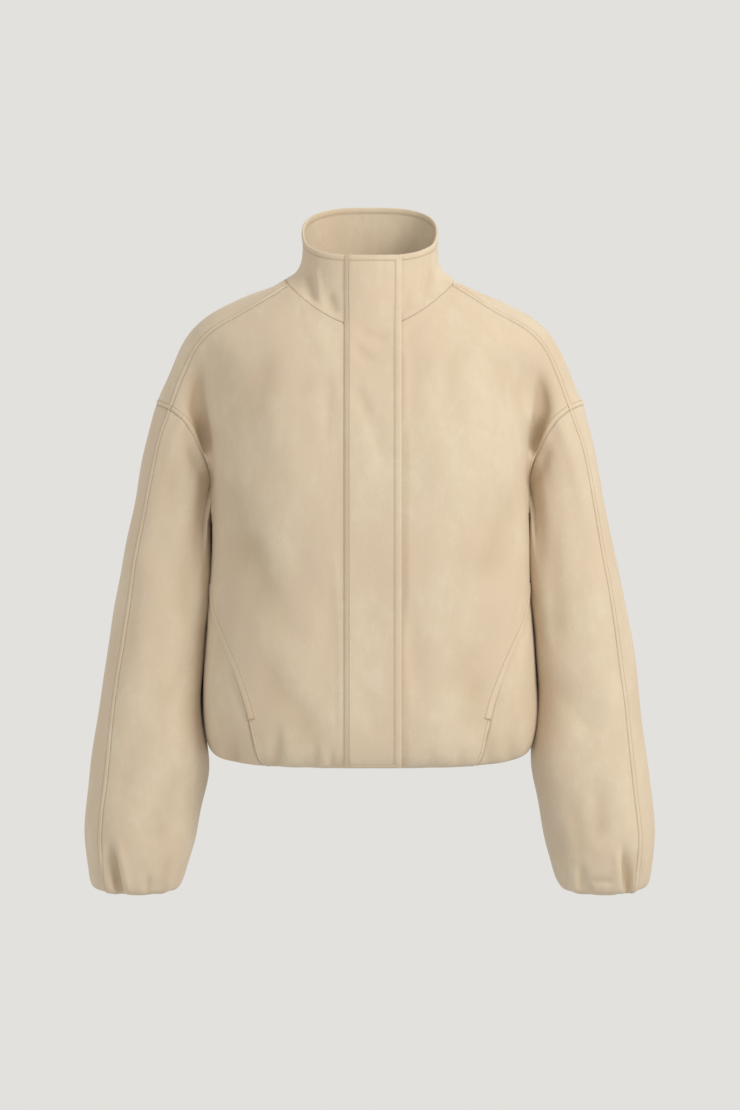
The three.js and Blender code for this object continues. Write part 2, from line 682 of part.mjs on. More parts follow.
// Strips that lie on the closing: the storm flap in front of it and the zip behind it

const CLOSING_HEIGHTS = [-54, -75, -100, -130, -160, -190, -220, -250, -280, -310, -340, -370, -400,
  -430, -455, -480, -500, -512, -520, -526];

function closingGrid(xs, lift) {
  const collarRows = [...COLLAR_ROWS].reverse().slice(0, -1);
  const rows = [
    ...collarRows.map((v) => xs.map((x) => collarPoint(frontPoint(x, neckFrontHeight(x)), v))),
    ...CLOSING_HEIGHTS.map((z, i) => xs.map((x) => {
      const start = neckFrontHeight(x);
      const height = i === 0 ? start : Math.min(z, mix(start, z, Math.min(i / 3, 1)));
      return frontPoint(x, height);
    })),
  ];
  return moveOut(rows, lift);
}

function flapGrid() {
  return closingGrid(spread(COUNT.flap, FLAP_RIGHT_EDGE, FLAP_LEFT_EDGE), WALL + FLAP_LIFT);
}

function zipGrid() {
  const rows = closingGrid(spread(COUNT.zip, -11, 11), -WALL - 0.9);
  return rows.slice(0, -2);
}

function pocketGrid(side) {
  const heights = spread(6, -345, -492);
  const rows = heights.map((z) => {
    const mouth = column(SIDE_SEAMS, 'front', z) - 7;
    return spread(5, mouth, 17).map((turn) => bodyPoint(side, turn, z));
  });
  return moveOut(rows, -WALL - 2);
}

function moveOut(rows, lift) {
  const normals = gridNormals(rows, false);
  return rows.map((row, i) => row.map((p, j) => {
    const normal = normals[i][j];
    if (normal.y > 0) normal.negate();
    return p.clone().addScaledVector(normal, lift);
  }));
}

// Casings: they start at the lip of the hem or cuff and turn up inside it

const HEM_TURN = [
  { inset: 0, rise: 0 },
  { inset: 6, rise: 1.5 },
  { inset: 9, rise: 8 },
  { inset: 10, rise: 30 },
];
const CUFF_TURN = [
  { inset: 0, rise: 0 },
  { inset: 3.5, rise: 1.5 },
  { inset: 5, rise: 7 },
  { inset: 5.5, rise: 26 },
];

function casingGrid(lip, centre, turns) {
  return turns.map((turn) => lip.map((p) => {
    const inward = centre.clone().sub(p).setZ(0).normalize();
    return p.clone().addScaledVector(inward, turn.inset).addScaledVector(UP, turn.rise);
  }));
}

// Cloth walls

function gridNormals(rows, closed) {
  const count = rows[0].length;
  return rows.map((row, i) => row.map((_, j) => {
    const above = rows[Math.max(i - 1, 0)][j];
    const below = rows[Math.min(i + 1, rows.length - 1)][j];
    const before = closed ? row[(j + count - 1) % count] : row[Math.max(j - 1, 0)];
    const after = closed ? row[(j + 1) % count] : row[Math.min(j + 1, count - 1)];
    const level = after.clone().sub(before);
    return level.cross(below.clone().sub(above)).normalize();
  }));
}

const pieces = [];

function addPiece(name, rows, look, options = {}) {
  const { closed = false, axis = null, facing = 1, wall = WALL } = options;
  const normals = gridNormals(rows, closed);
  const i = Math.floor(rows.length / 2);
  const j = Math.floor(rows[0].length / 2);
  const centre = axis ? axis(rows[i][j]) : new THREE.Vector3(0, 0, rows[i][j].z);
  const outward = rows[i][j].clone().sub(centre);
  const turned = Math.sign(normals[i][j].dot(outward)) * facing;
  normals.flat().forEach((normal) => normal.multiplyScalar(turned));
  pieces.push({ name, rows, normals, closed, wall, look, turned });
}

function isEdge(piece, i, j) {
  const level = i === 0 || i === piece.rows.length - 1;
  const upright = !piece.closed && (j === 0 || j === piece.rows[0].length - 1);
  return level || upright;
}

function pointKey(p) {
  return [p.x, p.y, p.z].map((value) => Math.round(value * 50)).join(',');
}

// Gives the pieces that share a seam the same direction of thickness there
function matchSeams() {
  const shared = new Map();
  const eachEdge = (action) => {
    for (const piece of pieces) {
      piece.rows.forEach((row, i) => row.forEach((p, j) => {
        if (isEdge(piece, i, j)) action(piece, p, i, j);
      }));
    }
  };
  eachEdge((piece, p, i, j) => {
    const key = pointKey(p);
    if (!shared.has(key)) shared.set(key, []);
    shared.get(key).push(piece.normals[i][j].clone());
  });
  eachEdge((piece, p, i, j) => {
    const own = piece.normals[i][j].clone();
    const agreeing = shared.get(pointKey(p)).filter((normal) => normal.dot(own) > 0.1);
    const sum = agreeing.reduce((total, normal) => total.add(normal), new THREE.Vector3());
    piece.normals[i][j].copy(sum.normalize());
  });
}

function trimmedPoint(piece, i, j) {
  const { rows, closed } = piece;
  const p = rows[i][j];
  const move = new THREE.Vector3();
  const pull = (neighbour) => {
    move.addScaledVector(neighbour.clone().sub(p).normalize(), SEAM_GAP / 2);
  };
  if (i === 0) pull(rows[1][j]);
  if (i === rows.length - 1) pull(rows[i - 1][j]);
  if (!closed && j === 0) pull(rows[i][1]);
  if (!closed && j === rows[0].length - 1) pull(rows[i][j - 1]);
  return p.clone().add(move);
}

function wallGeometry(piece) {
  const { rows, normals, closed, wall, turned } = piece;
  const down = rows.length;
  const wide = rows[0].length;
  const positions = [];
  const layers = [0, -wall];
  for (const depth of layers) {
    for (let i = 0; i < down; i += 1) {
      for (let j = 0; j < wide; j += 1) {
        const point = trimmedPoint(piece, i, j).addScaledVector(normals[i][j], depth);
        positions.push(point.x, point.y, point.z);
      }
    }
  }
  const at = (layer, i, j) => layer * down * wide + i * wide + (j % wide);
  const faces = [];
  const quad = (a, b, c, d) => {
    if (turned < 0) faces.push(a, d, b, b, d, c);
    else faces.push(a, b, d, b, c, d);
  };
  const spans = closed ? wide : wide - 1;
  for (let j = 0; j < spans; j += 1) {
    for (let i = 0; i < down - 1; i += 1) {
      quad(at(0, i, j), at(0, i, j + 1), at(0, i + 1, j + 1), at(0, i + 1, j));
      quad(at(1, i, j), at(1, i + 1, j), at(1, i + 1, j + 1), at(1, i, j + 1));
    }
    quad(at(0, 0, j), at(1, 0, j), at(1, 0, j + 1), at(0, 0, j + 1));
    quad(at(0, down - 1, j), at(0, down - 1, j + 1), at(1, down - 1, j + 1), at(1, down - 1, j));
  }
  if (!closed) {
    for (let i = 0; i < down - 1; i += 1) {
      quad(at(0, i, 0), at(0, i + 1, 0), at(1, i + 1, 0), at(1, i, 0));
      quad(at(0, i, wide - 1), at(1, i, wide - 1), at(1, i + 1, wide - 1), at(0, i + 1, wide - 1));
    }
  }
  const geometry = new THREE.BufferGeometry();
  geometry.setAttribute('position', new THREE.Float32BufferAttribute(positions, 3));
  geometry.setIndex(faces);
  geometry.computeVertexNormals();
  return geometry;
}

// Finishes

const SUEDE = { color: 0xd7c4a5, roughness: 0.95, metalness: 0 };
const SUEDE_INSIDE = { color: 0xcbb794, roughness: 0.95, metalness: 0 };
const LINING = { color: 0xb9a37f, roughness: 0.9, metalness: 0 };
const TAPE = { color: 0xa8926f, roughness: 0.85, metalness: 0 };

// The jacket

function addSleeve(side, word) {
  const seam = COUNT.armFront + COUNT.underarm + COUNT.sleeveBackSeam;
  const end = COUNT.armFront + COUNT.underarm + COUNT.armBack + COUNT.overShoulder;
  const axis = (p) => {
    const ring = sleeveRing(p.z);
    return new THREE.Vector3(side * ring.centre, ring.middle, p.z);
  };
  const inner = sleeveGrid(side, 0, seam);
  const outer = sleeveGrid(side, seam, end);
  addPiece(`sleeve_${word}_front`, inner, SUEDE, { axis });
  addPiece(`sleeve_${word}_back`, outer, SUEDE, { axis });
  const lip = [...inner[inner.length - 1].slice(0, -1), ...outer[outer.length - 1].slice(0, -1)];
  const ring = sleeveRing(CUFF_Z);
  const centre = new THREE.Vector3(side * ring.centre, ring.middle, CUFF_Z);
  const casing = casingGrid(lip, centre, CUFF_TURN);
  addPiece(`cuff_casing_${word}`, casing, SUEDE_INSIDE, { axis, closed: true, facing: -1 });
}

function addHemCasing(fronts, sides, back) {
  const lipOf = (rows) => rows[rows.length - 1];
  const lip = [
    ...lipOf(fronts[0]),
    ...lipOf(sides[0]).slice(1, -1),
    ...lipOf(back),
    ...lipOf(sides[1]).slice(1, -1).reverse(),
    ...lipOf(fronts[1]).slice().reverse(),
  ];
  const centre = new THREE.Vector3(0, 0, HEM_Z);
  addPiece('hem_casing', casingGrid(lip, centre, HEM_TURN), SUEDE_INSIDE, { facing: -1 });
}

function buildJacket() {
  const fronts = [frontGrid(-1), frontGrid(1)];
  const sides = [sideGrid(-1), sideGrid(1)];
  const back = backGrid();
  addPiece('front_right', fronts[0], SUEDE);
  addPiece('front_left', fronts[1], SUEDE);
  addPiece('side_right', sides[0], SUEDE);
  addPiece('side_left', sides[1], SUEDE);
  addPiece('back', back, SUEDE);
  addSleeve(-1, 'right');
  addSleeve(1, 'left');
  addPiece('collar', collarGrid(), SUEDE);
  addHemCasing(fronts, sides, back);
  addPiece('placket', flapGrid(), SUEDE);
  addPiece('zip', zipGrid(), TAPE, { wall: 1.5 });
  addPiece('pocket_bag_right', pocketGrid(-1), LINING, { wall: 1.5 });
  addPiece('pocket_bag_left', pocketGrid(1), LINING, { wall: 1.5 });
  matchSeams();
  const jacket = new THREE.Group();
  for (const piece of pieces) {
    const mesh = new THREE.Mesh(wallGeometry(piece), new THREE.MeshStandardMaterial(piece.look));
    mesh.name = piece.name;
    jacket.add(mesh);
  }
  return jacket;
}

const group = buildJacket();

export default group;
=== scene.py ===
# %% [markdown]
# # A cropped suede jacket, filled out with no wearer
# This lesson dresses the plain CAD pieces of a jacket in soft suede. On the real jacket every piece
# is cut from one thin skin, sewn to its neighbours and topstitched. The CAD pieces are stiff walls
# that already hang in the right place, so the lesson keeps their form, rounds it and adds what
# makes cloth look like cloth: folds, gathers, seams and a brushed nap.
# The first step loads the frame, which says where every piece is, in metres with Z up.

# %% Load the frame
import math
from collections import namedtuple

import bmesh
import bpy
import numpy as np
from mathutils import Matrix, Vector, kdtree
from mathutils.bvhtree import BVHTree


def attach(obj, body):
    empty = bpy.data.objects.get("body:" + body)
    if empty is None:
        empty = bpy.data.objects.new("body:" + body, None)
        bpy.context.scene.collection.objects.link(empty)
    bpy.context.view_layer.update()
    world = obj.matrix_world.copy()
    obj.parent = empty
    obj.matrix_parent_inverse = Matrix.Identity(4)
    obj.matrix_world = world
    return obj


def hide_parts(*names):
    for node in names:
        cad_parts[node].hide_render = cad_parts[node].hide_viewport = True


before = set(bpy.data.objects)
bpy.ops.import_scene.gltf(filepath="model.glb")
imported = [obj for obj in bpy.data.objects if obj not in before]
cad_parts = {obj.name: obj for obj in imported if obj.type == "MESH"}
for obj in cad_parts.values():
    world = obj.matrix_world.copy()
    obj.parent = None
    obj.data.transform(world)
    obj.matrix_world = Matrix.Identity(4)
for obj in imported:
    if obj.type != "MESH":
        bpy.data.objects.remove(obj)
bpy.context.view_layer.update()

MM = 0.001

# %% [markdown]
# ## The camera
# The photo was taken straight from the front with a long lens, a little above the middle of the
# jacket. A long lens far away keeps the sleeves from bulging, and a small tilt shows the inside of
# the collar's back. A short lens close by would also fill the picture, but it would swell the flap.

# %% Camera
AIM = Vector((0, 0, -0.305))
TILT = math.radians(3.6)
DISTANCE = 2.8
PICTURE_HEIGHT = 1.243
SENSOR = 36

camera_data = bpy.data.cameras.new("camera")
camera_data.sensor_width = SENSOR
camera_data.lens = SENSOR * DISTANCE / PICTURE_HEIGHT
camera = bpy.data.objects.new("camera", camera_data)
camera.location = AIM + DISTANCE * Vector((0, -math.cos(TILT), math.sin(TILT)))
camera.rotation_euler = (AIM - camera.location).to_track_quat("-Z", "Y").to_euler()
bpy.context.scene.collection.objects.link(camera)
bpy.context.scene.camera = camera
print("lens in mm:", round(camera_data.lens, 1))

# %% [markdown]
# ## Helpers for shaders
# Nodes can be wired by hand in the editor. In a script it is easier to read a line of maths, so one
# small class wraps a socket: adding or multiplying two of them adds the Math node behind it. Every
# other node comes from the `add` method, which sets its settings first and then its sockets.

# %% Shader maths
class Value:
    """A node's output socket that can be used in plain Python maths."""

    def __init__(self, shader, socket):
        self.shader = shader
        self.socket = socket

    def maths(self, operation, first, second):
        return self.shader.add("ShaderNodeMath", {"operation": operation}, {0: first, 1: second})

    def __add__(self, other):
        return self.maths("ADD", self, other)

    __radd__ = __add__

    def __sub__(self, other):
        return self.maths("SUBTRACT", self, other)

    def __rsub__(self, other):
        return self.maths("SUBTRACT", other, self)

    def __mul__(self, other):
        return self.maths("MULTIPLY", self, other)

    __rmul__ = __mul__


class Shader:
    """One material, built from an empty node tree."""

    def __init__(self, name):
        self.material = bpy.data.materials.new(name)
        self.material.use_nodes = True
        self.tree = self.material.node_tree
        self.tree.nodes.clear()

    def add(self, kind, settings=None, sockets=None, output=0):
        node = self.tree.nodes.new(kind)
        for name, setting in (settings or {}).items():
            setattr(node, name, setting)
        for name, value in (sockets or {}).items():
            if isinstance(value, Value):
                self.tree.links.new(value.socket, node.inputs[name])
            else:
                node.inputs[name].default_value = value
        return Value(self, node.outputs[output])

    def ramp(self, value, low, high):
        """Turns a value into 0 below low and 1 above high, with a soft step between."""
        sockets = {"Value": value, "From Min": low, "From Max": high}
        return self.add("ShaderNodeMapRange", {"interpolation_type": "SMOOTHSTEP"}, sockets)

    def noise(self, place, size_mm, detail, roughness=0.5):
        sockets = {"Vector": place, "Scale": 1 / (size_mm * MM), "Detail": detail, "Roughness": roughness}
        return self.add("ShaderNodeTexNoise", None, sockets)

    def stretched(self, place, scale):
        return self.add("ShaderNodeMapping", None, {"Vector": place, "Scale": scale})

    def blend(self, factor, first, second):
        """Mixes two colours. Inputs 6 and 7 of the Mix node are its colours, output 2 the result."""
        sockets = {0: factor, 6: first, 7: second}
        return self.add("ShaderNodeMix", {"data_type": "RGBA"}, sockets, output=2)

    def finish(self, sockets, bump):
        surface = self.add("ShaderNodeBsdfPrincipled", None, {**sockets, "Normal": bump})
        self.add_output(surface)
        return self.material

    def add_output(self, surface):
        node = self.tree.nodes.new("ShaderNodeOutputMaterial")
        self.tree.links.new(surface.socket, node.inputs["Surface"])


print("shader helpers ready")

# %% [markdown]
# ## Light and ground
# The studio is one soft tone: a pale warm grey that fills the picture, a large soft light from the
# front right, a weaker one from the left and one from behind. A glowing floor of the same tone as the
# sky keeps the ground even, as a well lit paper sweep does. A curved paper sweep could be modelled
# instead, but it would stand in the way when the jacket is looked at from behind.

# %% Stage and lights
GROUND = (0.760, 0.752, 0.723, 1)
SKY_TINT = (0.98, 0.99, 1.0, 1)
SKY_LIGHT = 0.72
FLOOR_Z = -1.5
FLOOR_RADIUS = 12

bpy.context.scene.view_settings.view_transform = "Standard"
world = bpy.data.worlds.new("studio")
world.use_nodes = True
bpy.context.scene.world = world
sky = world.node_tree
sky_seen = sky.nodes["Background"]
sky_seen.inputs["Color"].default_value = GROUND
sky_light = sky.nodes.new("ShaderNodeBackground")
sky_light.inputs["Color"].default_value = SKY_TINT
sky_light.inputs["Strength"].default_value = SKY_LIGHT
seen = sky.nodes.new("ShaderNodeLightPath")
choice = sky.nodes.new("ShaderNodeMixShader")
sky.links.new(seen.outputs["Is Camera Ray"], choice.inputs[0])
sky.links.new(sky_light.outputs[0], choice.inputs[1])
sky.links.new(sky_seen.outputs[0], choice.inputs[2])
sky.links.new(choice.outputs[0], sky.nodes["World Output"].inputs["Surface"])

paper = Shader("floor paper")
paper.add_output(paper.add("ShaderNodeEmission", None, {"Color": GROUND, "Strength": 1.0}))
floor_mesh = bpy.data.meshes.new("floor")
floor_shape = bmesh.new()
bmesh.ops.create_circle(floor_shape, cap_ends=True, radius=FLOOR_RADIUS, segments=64)
bmesh.ops.translate(floor_shape, vec=(0, 0, FLOOR_Z), verts=floor_shape.verts)
floor_shape.to_mesh(floor_mesh)
floor_shape.free()
floor = bpy.data.objects.new("floor", floor_mesh)
floor.data.materials.append(paper.material)
floor.visible_diffuse = False
floor.visible_glossy = False
bpy.context.scene.collection.objects.link(floor)


def soft_light(name, place, size, power, color):
    """A square soft box that looks at the jacket."""
    data = bpy.data.lights.new(name, "AREA")
    data.size = size
    data.energy = power
    data.color = color
    light = bpy.data.objects.new(name, data)
    light.location = place
    light.rotation_euler = (AIM - Vector(place)).to_track_quat("-Z", "Y").to_euler()
    bpy.context.scene.collection.objects.link(light)


soft_light("key", (2.1, -1.9, 1.2), 1.3, 60, (1, 0.985, 0.95))
soft_light("fill", (-2.4, -2.2, 0.4), 2.0, 9, (1, 0.99, 0.97))
soft_light("rim", (0.6, 2.4, 1.6), 1.6, 22, (1, 1, 1))
print("lights:", [o.name for o in bpy.data.objects if o.type == "LIGHT"])

# %% [markdown]
# ## Suede
# Suede is the flesh side of a skin, sanded to a short nap. It has no gloss: light sinks between the
# fibres and comes back a little at grazing angles, which is what sheen is for. Large cloudy patches
# lean to pink or to cream where the nap lies another way, and smaller ones break them up. Shade is
# painted into the colour: a dark brown is mixed in where an attribute called "fold" marks a fold,
# a seam or a stitch groove, and over the inner faces. All the rest is noise on Object coordinates.
# An image would need an unwrapped sheet, and its pattern would break at every seam.

# %% Suede
SAND = (0.630, 0.515, 0.368, 1)
CREAM = (0.700, 0.590, 0.440, 1)
ROSE = (0.620, 0.492, 0.352, 1)
# A dark brown: painted shade in folds, seams, stitch grooves and on the inner faces, and also the nap's
# own random darker mottle.
SHADE_AND_DARK_NAP = (0.420, 0.305, 0.180, 1)
CLOUD_MM = 55
PATCH_MM = 14
GRAIN_MM = 3.6
FIBRE_MM = 1.3
NAP = 0.9 * MM


def suede(name, tone=1.0):
    """Brushed suede. A tone below 1 mixes the whole finish towards the dark brown, as painted shade."""
    shader = Shader(name)
    place = shader.add("ShaderNodeTexCoord", output=3)
    hanging = shader.stretched(place, (1, 1, 0.45))
    clouds = shader.noise(hanging, CLOUD_MM, 4, 0.6)
    patches = shader.noise(shader.stretched(place, (1, 1, 0.7)), PATCH_MM, 4, 0.65)
    fibres = shader.noise(shader.stretched(place, (1, 1, 0.4)), FIBRE_MM, 3, 0.7)
    grain = shader.noise(place, GRAIN_MM, 2, 0.6)
    # Painted shade: the "fold" attribute says how deep a point lies in a fold, a seam or a stitch groove.
    fold = shader.add("ShaderNodeAttribute", {"attribute_name": "fold"}, output=2)
    tint = shader.blend(shader.ramp(clouds, 0.36, 0.64), ROSE, SAND)
    pale = shader.ramp(patches * 0.55 + clouds * 0.45, 0.46, 0.68) * 0.55
    tint = shader.blend(pale, tint, CREAM)
    mottle = (patches - 0.5) * 0.22 + (fibres - 0.5) * 0.30 + (grain - 0.5) * 0.16
    # Painted shade from the "fold" attribute, plus the nap's own random darker mottle.
    painted_shade_and_mottle = shader.ramp(fold * 0.62 + 0.02, 0, 1) * 0.75 + shader.ramp(mottle, -0.02, 0.20) * 0.22
    tint = shader.blend(painted_shade_and_mottle, tint, SHADE_AND_DARK_NAP)
    # Painted shade over the whole finish where the tone is below 1.
    tint = shader.blend(1 - tone, tint, SHADE_AND_DARK_NAP)
    rough = 0.86 + patches * 0.12
    height = fibres * 0.5 + grain * 0.35 + patches * 0.4
    sockets = {"Strength": 0.45, "Distance": NAP, "Height": height}
    bump = shader.add("ShaderNodeBump", None, sockets)
    look = {
        "Base Color": tint,
        "Roughness": rough,
        "Specular IOR Level": 0.12,
        "Sheen Weight": 0.22,
        "Sheen Roughness": 0.45,
        "Sheen Tint": (1.0, 0.93, 0.82, 1),
    }
    return shader.finish(look, bump)


SUEDE = suede("suede")
# A copy mixed a tenth of the way towards the dark brown: painted shade for the inner faces of the
# casings.
SUEDE_SHADED_INSIDE = suede("suede inside", tone=0.90)
print("suede nodes:", len(SUEDE.node_tree.nodes))

# %% [markdown]
# ## Thread, pocket cloth, tape and zip teeth
# Pocket bags are cut from a plain woven cloth, and the zip is a woven tape with plastic teeth. The
# twist of the sewing thread looks like a fine weave too, so one function makes all three. Each is
# small or hidden, so a few nodes are enough, but none is one flat colour.

# %% Other finishes
def woven(name, first, second, thread_mm, gloss):
    """A plain weave: two sets of bands, one across the other."""
    shader = Shader(name)
    place = shader.add("ShaderNodeTexCoord", output=3)
    across = {"bands_direction": "X"}
    upright = {"bands_direction": "Z"}
    scale = {"Vector": place, "Scale": 0.5 / (thread_mm * MM) / math.pi, "Distortion": 0.4}
    weave = shader.add("ShaderNodeTexWave", across, scale, output=1)
    weave = weave * 0.5 + shader.add("ShaderNodeTexWave", upright, scale, output=1) * 0.5
    worn = shader.noise(place, 12, 3)
    tint = shader.blend(shader.ramp(weave * 0.7 + worn * 0.3, 0.2, 0.8), first, second)
    bump = shader.add("ShaderNodeBump", None, {"Strength": 0.5, "Distance": 0.0004, "Height": weave})
    look = {"Base Color": tint, "Roughness": 0.92 - gloss * worn, "Sheen Weight": 0.1}
    return shader.finish(look, bump)


def toothed(name, first, second):
    """Plastic teeth: a faint mottle and a soft shine."""
    shader = Shader(name)
    place = shader.add("ShaderNodeTexCoord", output=3)
    mottle = shader.noise(place, 2.5, 3)
    tint = shader.blend(mottle, first, second)
    bump = shader.add("ShaderNodeBump", None, {"Strength": 0.15, "Distance": 0.0002, "Height": mottle})
    return shader.finish({"Base Color": tint, "Roughness": 0.38 + mottle * 0.2}, bump)


THREAD = woven("thread", (0.45, 0.34, 0.21, 1), (0.60, 0.47, 0.31, 1), 0.4, 0.2)
LINING = woven("pocket cloth", (0.42, 0.34, 0.23, 1), (0.52, 0.43, 0.30, 1), 0.5, 0.3)
TAPE = woven("zip tape", (0.40, 0.31, 0.20, 1), (0.50, 0.40, 0.27, 1), 0.6, 0.1)
TEETH = toothed("zip teeth", (0.36, 0.28, 0.18, 1), (0.46, 0.37, 0.25, 1))
print("finishes:", [m.name for m in (THREAD, LINING, TAPE, TEETH)])

# %% [markdown]
# ## From a stiff wall to a sheet of cloth
# A CAD piece is a wall 1.5 or 2 mm thick made of loose triangles. Cloth is easier to shape as one
# thin sheet, so a copy of the piece is merged, its triangles are joined to quads, and one face of the
# wall is kept, mostly the outer one. The thickness comes back at the very end. Both faces could be
# shaped together, but they would cross each other in a tight fold.

# %% Sheets from the CAD pieces
MERGE = 0.02 * MM
JOIN_FLAT = math.radians(60)
JOIN_SQUARE = math.radians(120)
SHARP = math.radians(75)
LIPS_BELOW = -500 * MM
WALL = 2 * MM
THIN_WALL = 1.5 * MM
SIDES = ("right", "left")
BODY = ("back", "front_right", "front_left", "side_right", "side_left")
SLEEVES = tuple(f"sleeve_{side}_{half}" for side in SIDES for half in ("front", "back"))
CLOTH = (*BODY, *SLEEVES, "collar", "placket")
POCKETS = tuple(f"pocket_bag_{side}" for side in SIDES)
CASINGS = ("hem_casing", "cuff_casing_right", "cuff_casing_left")
FINE = ("front_right", "front_left", *SLEEVES, "collar", "placket")


def shape_of(mesh):
    """A mesh, opened for editing."""
    shape = bmesh.new()
    shape.from_mesh(mesh)
    return shape


def merged_copy(node):
    """A copy of a CAD piece with its points merged and its triangles joined to quads."""
    shape = shape_of(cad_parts[node].data)
    bmesh.ops.remove_doubles(shape, verts=shape.verts, dist=MERGE)
    bmesh.ops.join_triangles(
        shape,
        faces=shape.faces[:],
        angle_face_threshold=JOIN_FLAT,
        angle_shape_threshold=JOIN_SQUARE,
        topology_influence=2,
    )
    return shape


def wall_sides(shape, wall, tight):
    """The two faces of a wall, larger first.

    The strip between them has edges as long as the wall is thick. In the tight corner under an arm
    it is wider, and there its sharp turn tells it from the cloth."""
    rim = {edge for edge in shape.edges if abs(edge.calc_length() - wall) < MERGE}
    high = {edge for edge in shape.edges if tight and edge.verts[0].co.z > LIPS_BELOW}
    corners = {edge for edge in high if edge.calc_face_angle(0) > SHARP}
    left = {face for face in shape.faces if not rim.intersection(face.edges)}
    parts = []
    while left:
        part = [left.pop()]
        for face in part:
            for edge in face.edges:
                if edge in corners:
                    continue
                for other in edge.link_faces:
                    if other in left:
                        left.remove(other)
                        part.append(other)
        parts.append(part)
    return sorted(parts, key=lambda part: -sum(face.calc_area() for face in part))


def one_side(node, wall=WALL, side=0):
    """One face of a CAD piece, as an open sheet: 0 is its larger face, 1 the other."""
    shape = merged_copy(node)
    parts = wall_sides(shape, wall, node in SLEEVES)
    kept = set(parts[side])
    print(node, "has sides of", [len(part) for part in parts], "faces")
    spare = [face for face in shape.faces if face not in kept]
    bmesh.ops.delete(shape, geom=spare, context="FACES")
    return shape


sheets = {node: one_side(node) for node in CLOTH}
sheets.update({node: one_side(node, THIN_WALL) for node in POCKETS})
sheets.update({node: one_side(node, side=1) for node in CASINGS})

# %% [markdown]
# ## Pin and round the sheets
# A Subdivision Surface turns the facets into smooth cloth and adds the points that folds need, once
# more for the sheets with the closest folds. It pulls corners in, and where three pieces meet it
# would open a hole, so those points are found by a search and creased first.

# %% Pin the corners where three pieces meet
NEAR = 1.2 * MM


def tree_of(points):
    """A search tree that finds the nearest of some points."""
    tree = kdtree.KDTree(len(points))
    for i, point in enumerate(points):
        tree.insert(point, i)
    tree.balance()
    return tree


def border_points(sheet):
    return [vert for vert in sheet.verts if vert.is_boundary]


places = [(vert.co.copy(), node) for node in CLOTH for vert in border_points(sheets[node])]
tree = tree_of([place for place, _ in places])
pinned = 0
for node in CLOTH:
    sheet = sheets[node]
    corner = sheet.verts.layers.float.new("crease_vert")
    for vert in border_points(sheet):
        meeting = {places[i][1] for _, i, _ in tree.find_range(vert.co, NEAR)}
        if len(meeting | {node}) > 2:
            vert[corner] = 1
            pinned += 1
print("pinned points:", pinned)

# %% Round the sheets
CORRECTIONS = 3
LEVELS = 2
FINE_LEVELS = 3


def apply_modifiers(piece):
    """Bakes the modifiers of a piece into its mesh."""
    graph = bpy.context.evaluated_depsgraph_get()
    finished = bpy.data.meshes.new_from_object(piece.evaluated_get(graph))
    piece.modifiers.clear()
    piece.data = finished


def new_piece(name, shape, *materials):
    """Turns a bmesh into an object at the origin."""
    mesh = bpy.data.meshes.new(name)
    shape.to_mesh(mesh)
    shape.free()
    piece = bpy.data.objects.new(name, mesh)
    bpy.context.scene.collection.objects.link(piece)
    for material in materials:
        piece.data.materials.append(material)
    return piece


def read_points(mesh):
    """The points of a mesh as rows of x, y and z, in millimetres."""
    values = np.empty(len(mesh.vertices) * 3)
    mesh.vertices.foreach_get("co", values)
    return values.reshape(-1, 3) / MM


def read_normals(mesh):
    values = np.empty(len(mesh.vertices) * 3)
    mesh.vertex_normals.foreach_get("vector", values)
    return values.reshape(-1, 3)


def opened(piece):
    """The mesh of a piece, its points and its normals."""
    return piece.data, read_points(piece.data), read_normals(piece.data)


def write_points(mesh, points):
    mesh.vertices.foreach_set("co", (points * MM).ravel())
    mesh.update()


def soften(piece, levels):
    """A Subdivision Surface that divides each face so many times."""
    smooth = piece.modifiers.new("rounding", "SUBSURF")
    smooth.levels = levels
    smooth.render_levels = levels
    return smooth


def rounded(name, sheet, levels, material):
    """Rounds a sheet through its own points.

    Rounding pulls every point in a little. The points are moved out by as much as they lost, a few
    times over, so that the round sheet keeps the size of the CAD piece."""
    piece = new_piece(name, sheet, material)
    soften(piece, levels).boundary_smooth = "PRESERVE_CORNERS"
    wanted = read_points(piece.data)
    for _ in range(CORRECTIONS):
        graph = bpy.context.evaluated_depsgraph_get()
        trial = piece.evaluated_get(graph).to_mesh()
        lost = wanted - read_points(trial)[:len(wanted)]
        write_points(piece.data, read_points(piece.data) + lost)
        bpy.context.view_layer.update()
    apply_modifiers(piece)
    piece.data.shade_smooth()
    return piece


cloth = {}
for node in CLOTH:
    levels = FINE_LEVELS if node in FINE else LEVELS
    cloth[node] = rounded(f"{node}_suede", sheets[node], levels, SUEDE)
bags = {node: rounded(f"{node}_cloth", sheets[node], LEVELS, LINING) for node in POCKETS}
casings = {node: rounded(f"{node}_suede", sheets[node], LEVELS, SUEDE_SHADED_INSIDE) for node in CASINGS}
print("points of the rounded sheets:", {n: len(p.data.vertices) for n, p in cloth.items()})

# %% [markdown]
# ## Folds
# Cloth folds where it is pinched, pulled or has too much room: deep at the underarms, slanting
# towards the hem, long down the sleeves, and short where elastic gathers the hem and the cuffs. A
# simulation would make folds, but not these ones, so each main fold is listed. A row gives its two
# ends as seen from the front, in millimetres, its width, its depth, and how much wider it is on its
# far side. A negative depth is a ridge.

# %% Where the folds are
Fold = namedtuple("Fold", "x1 z1 x2 z2 width depth lean")

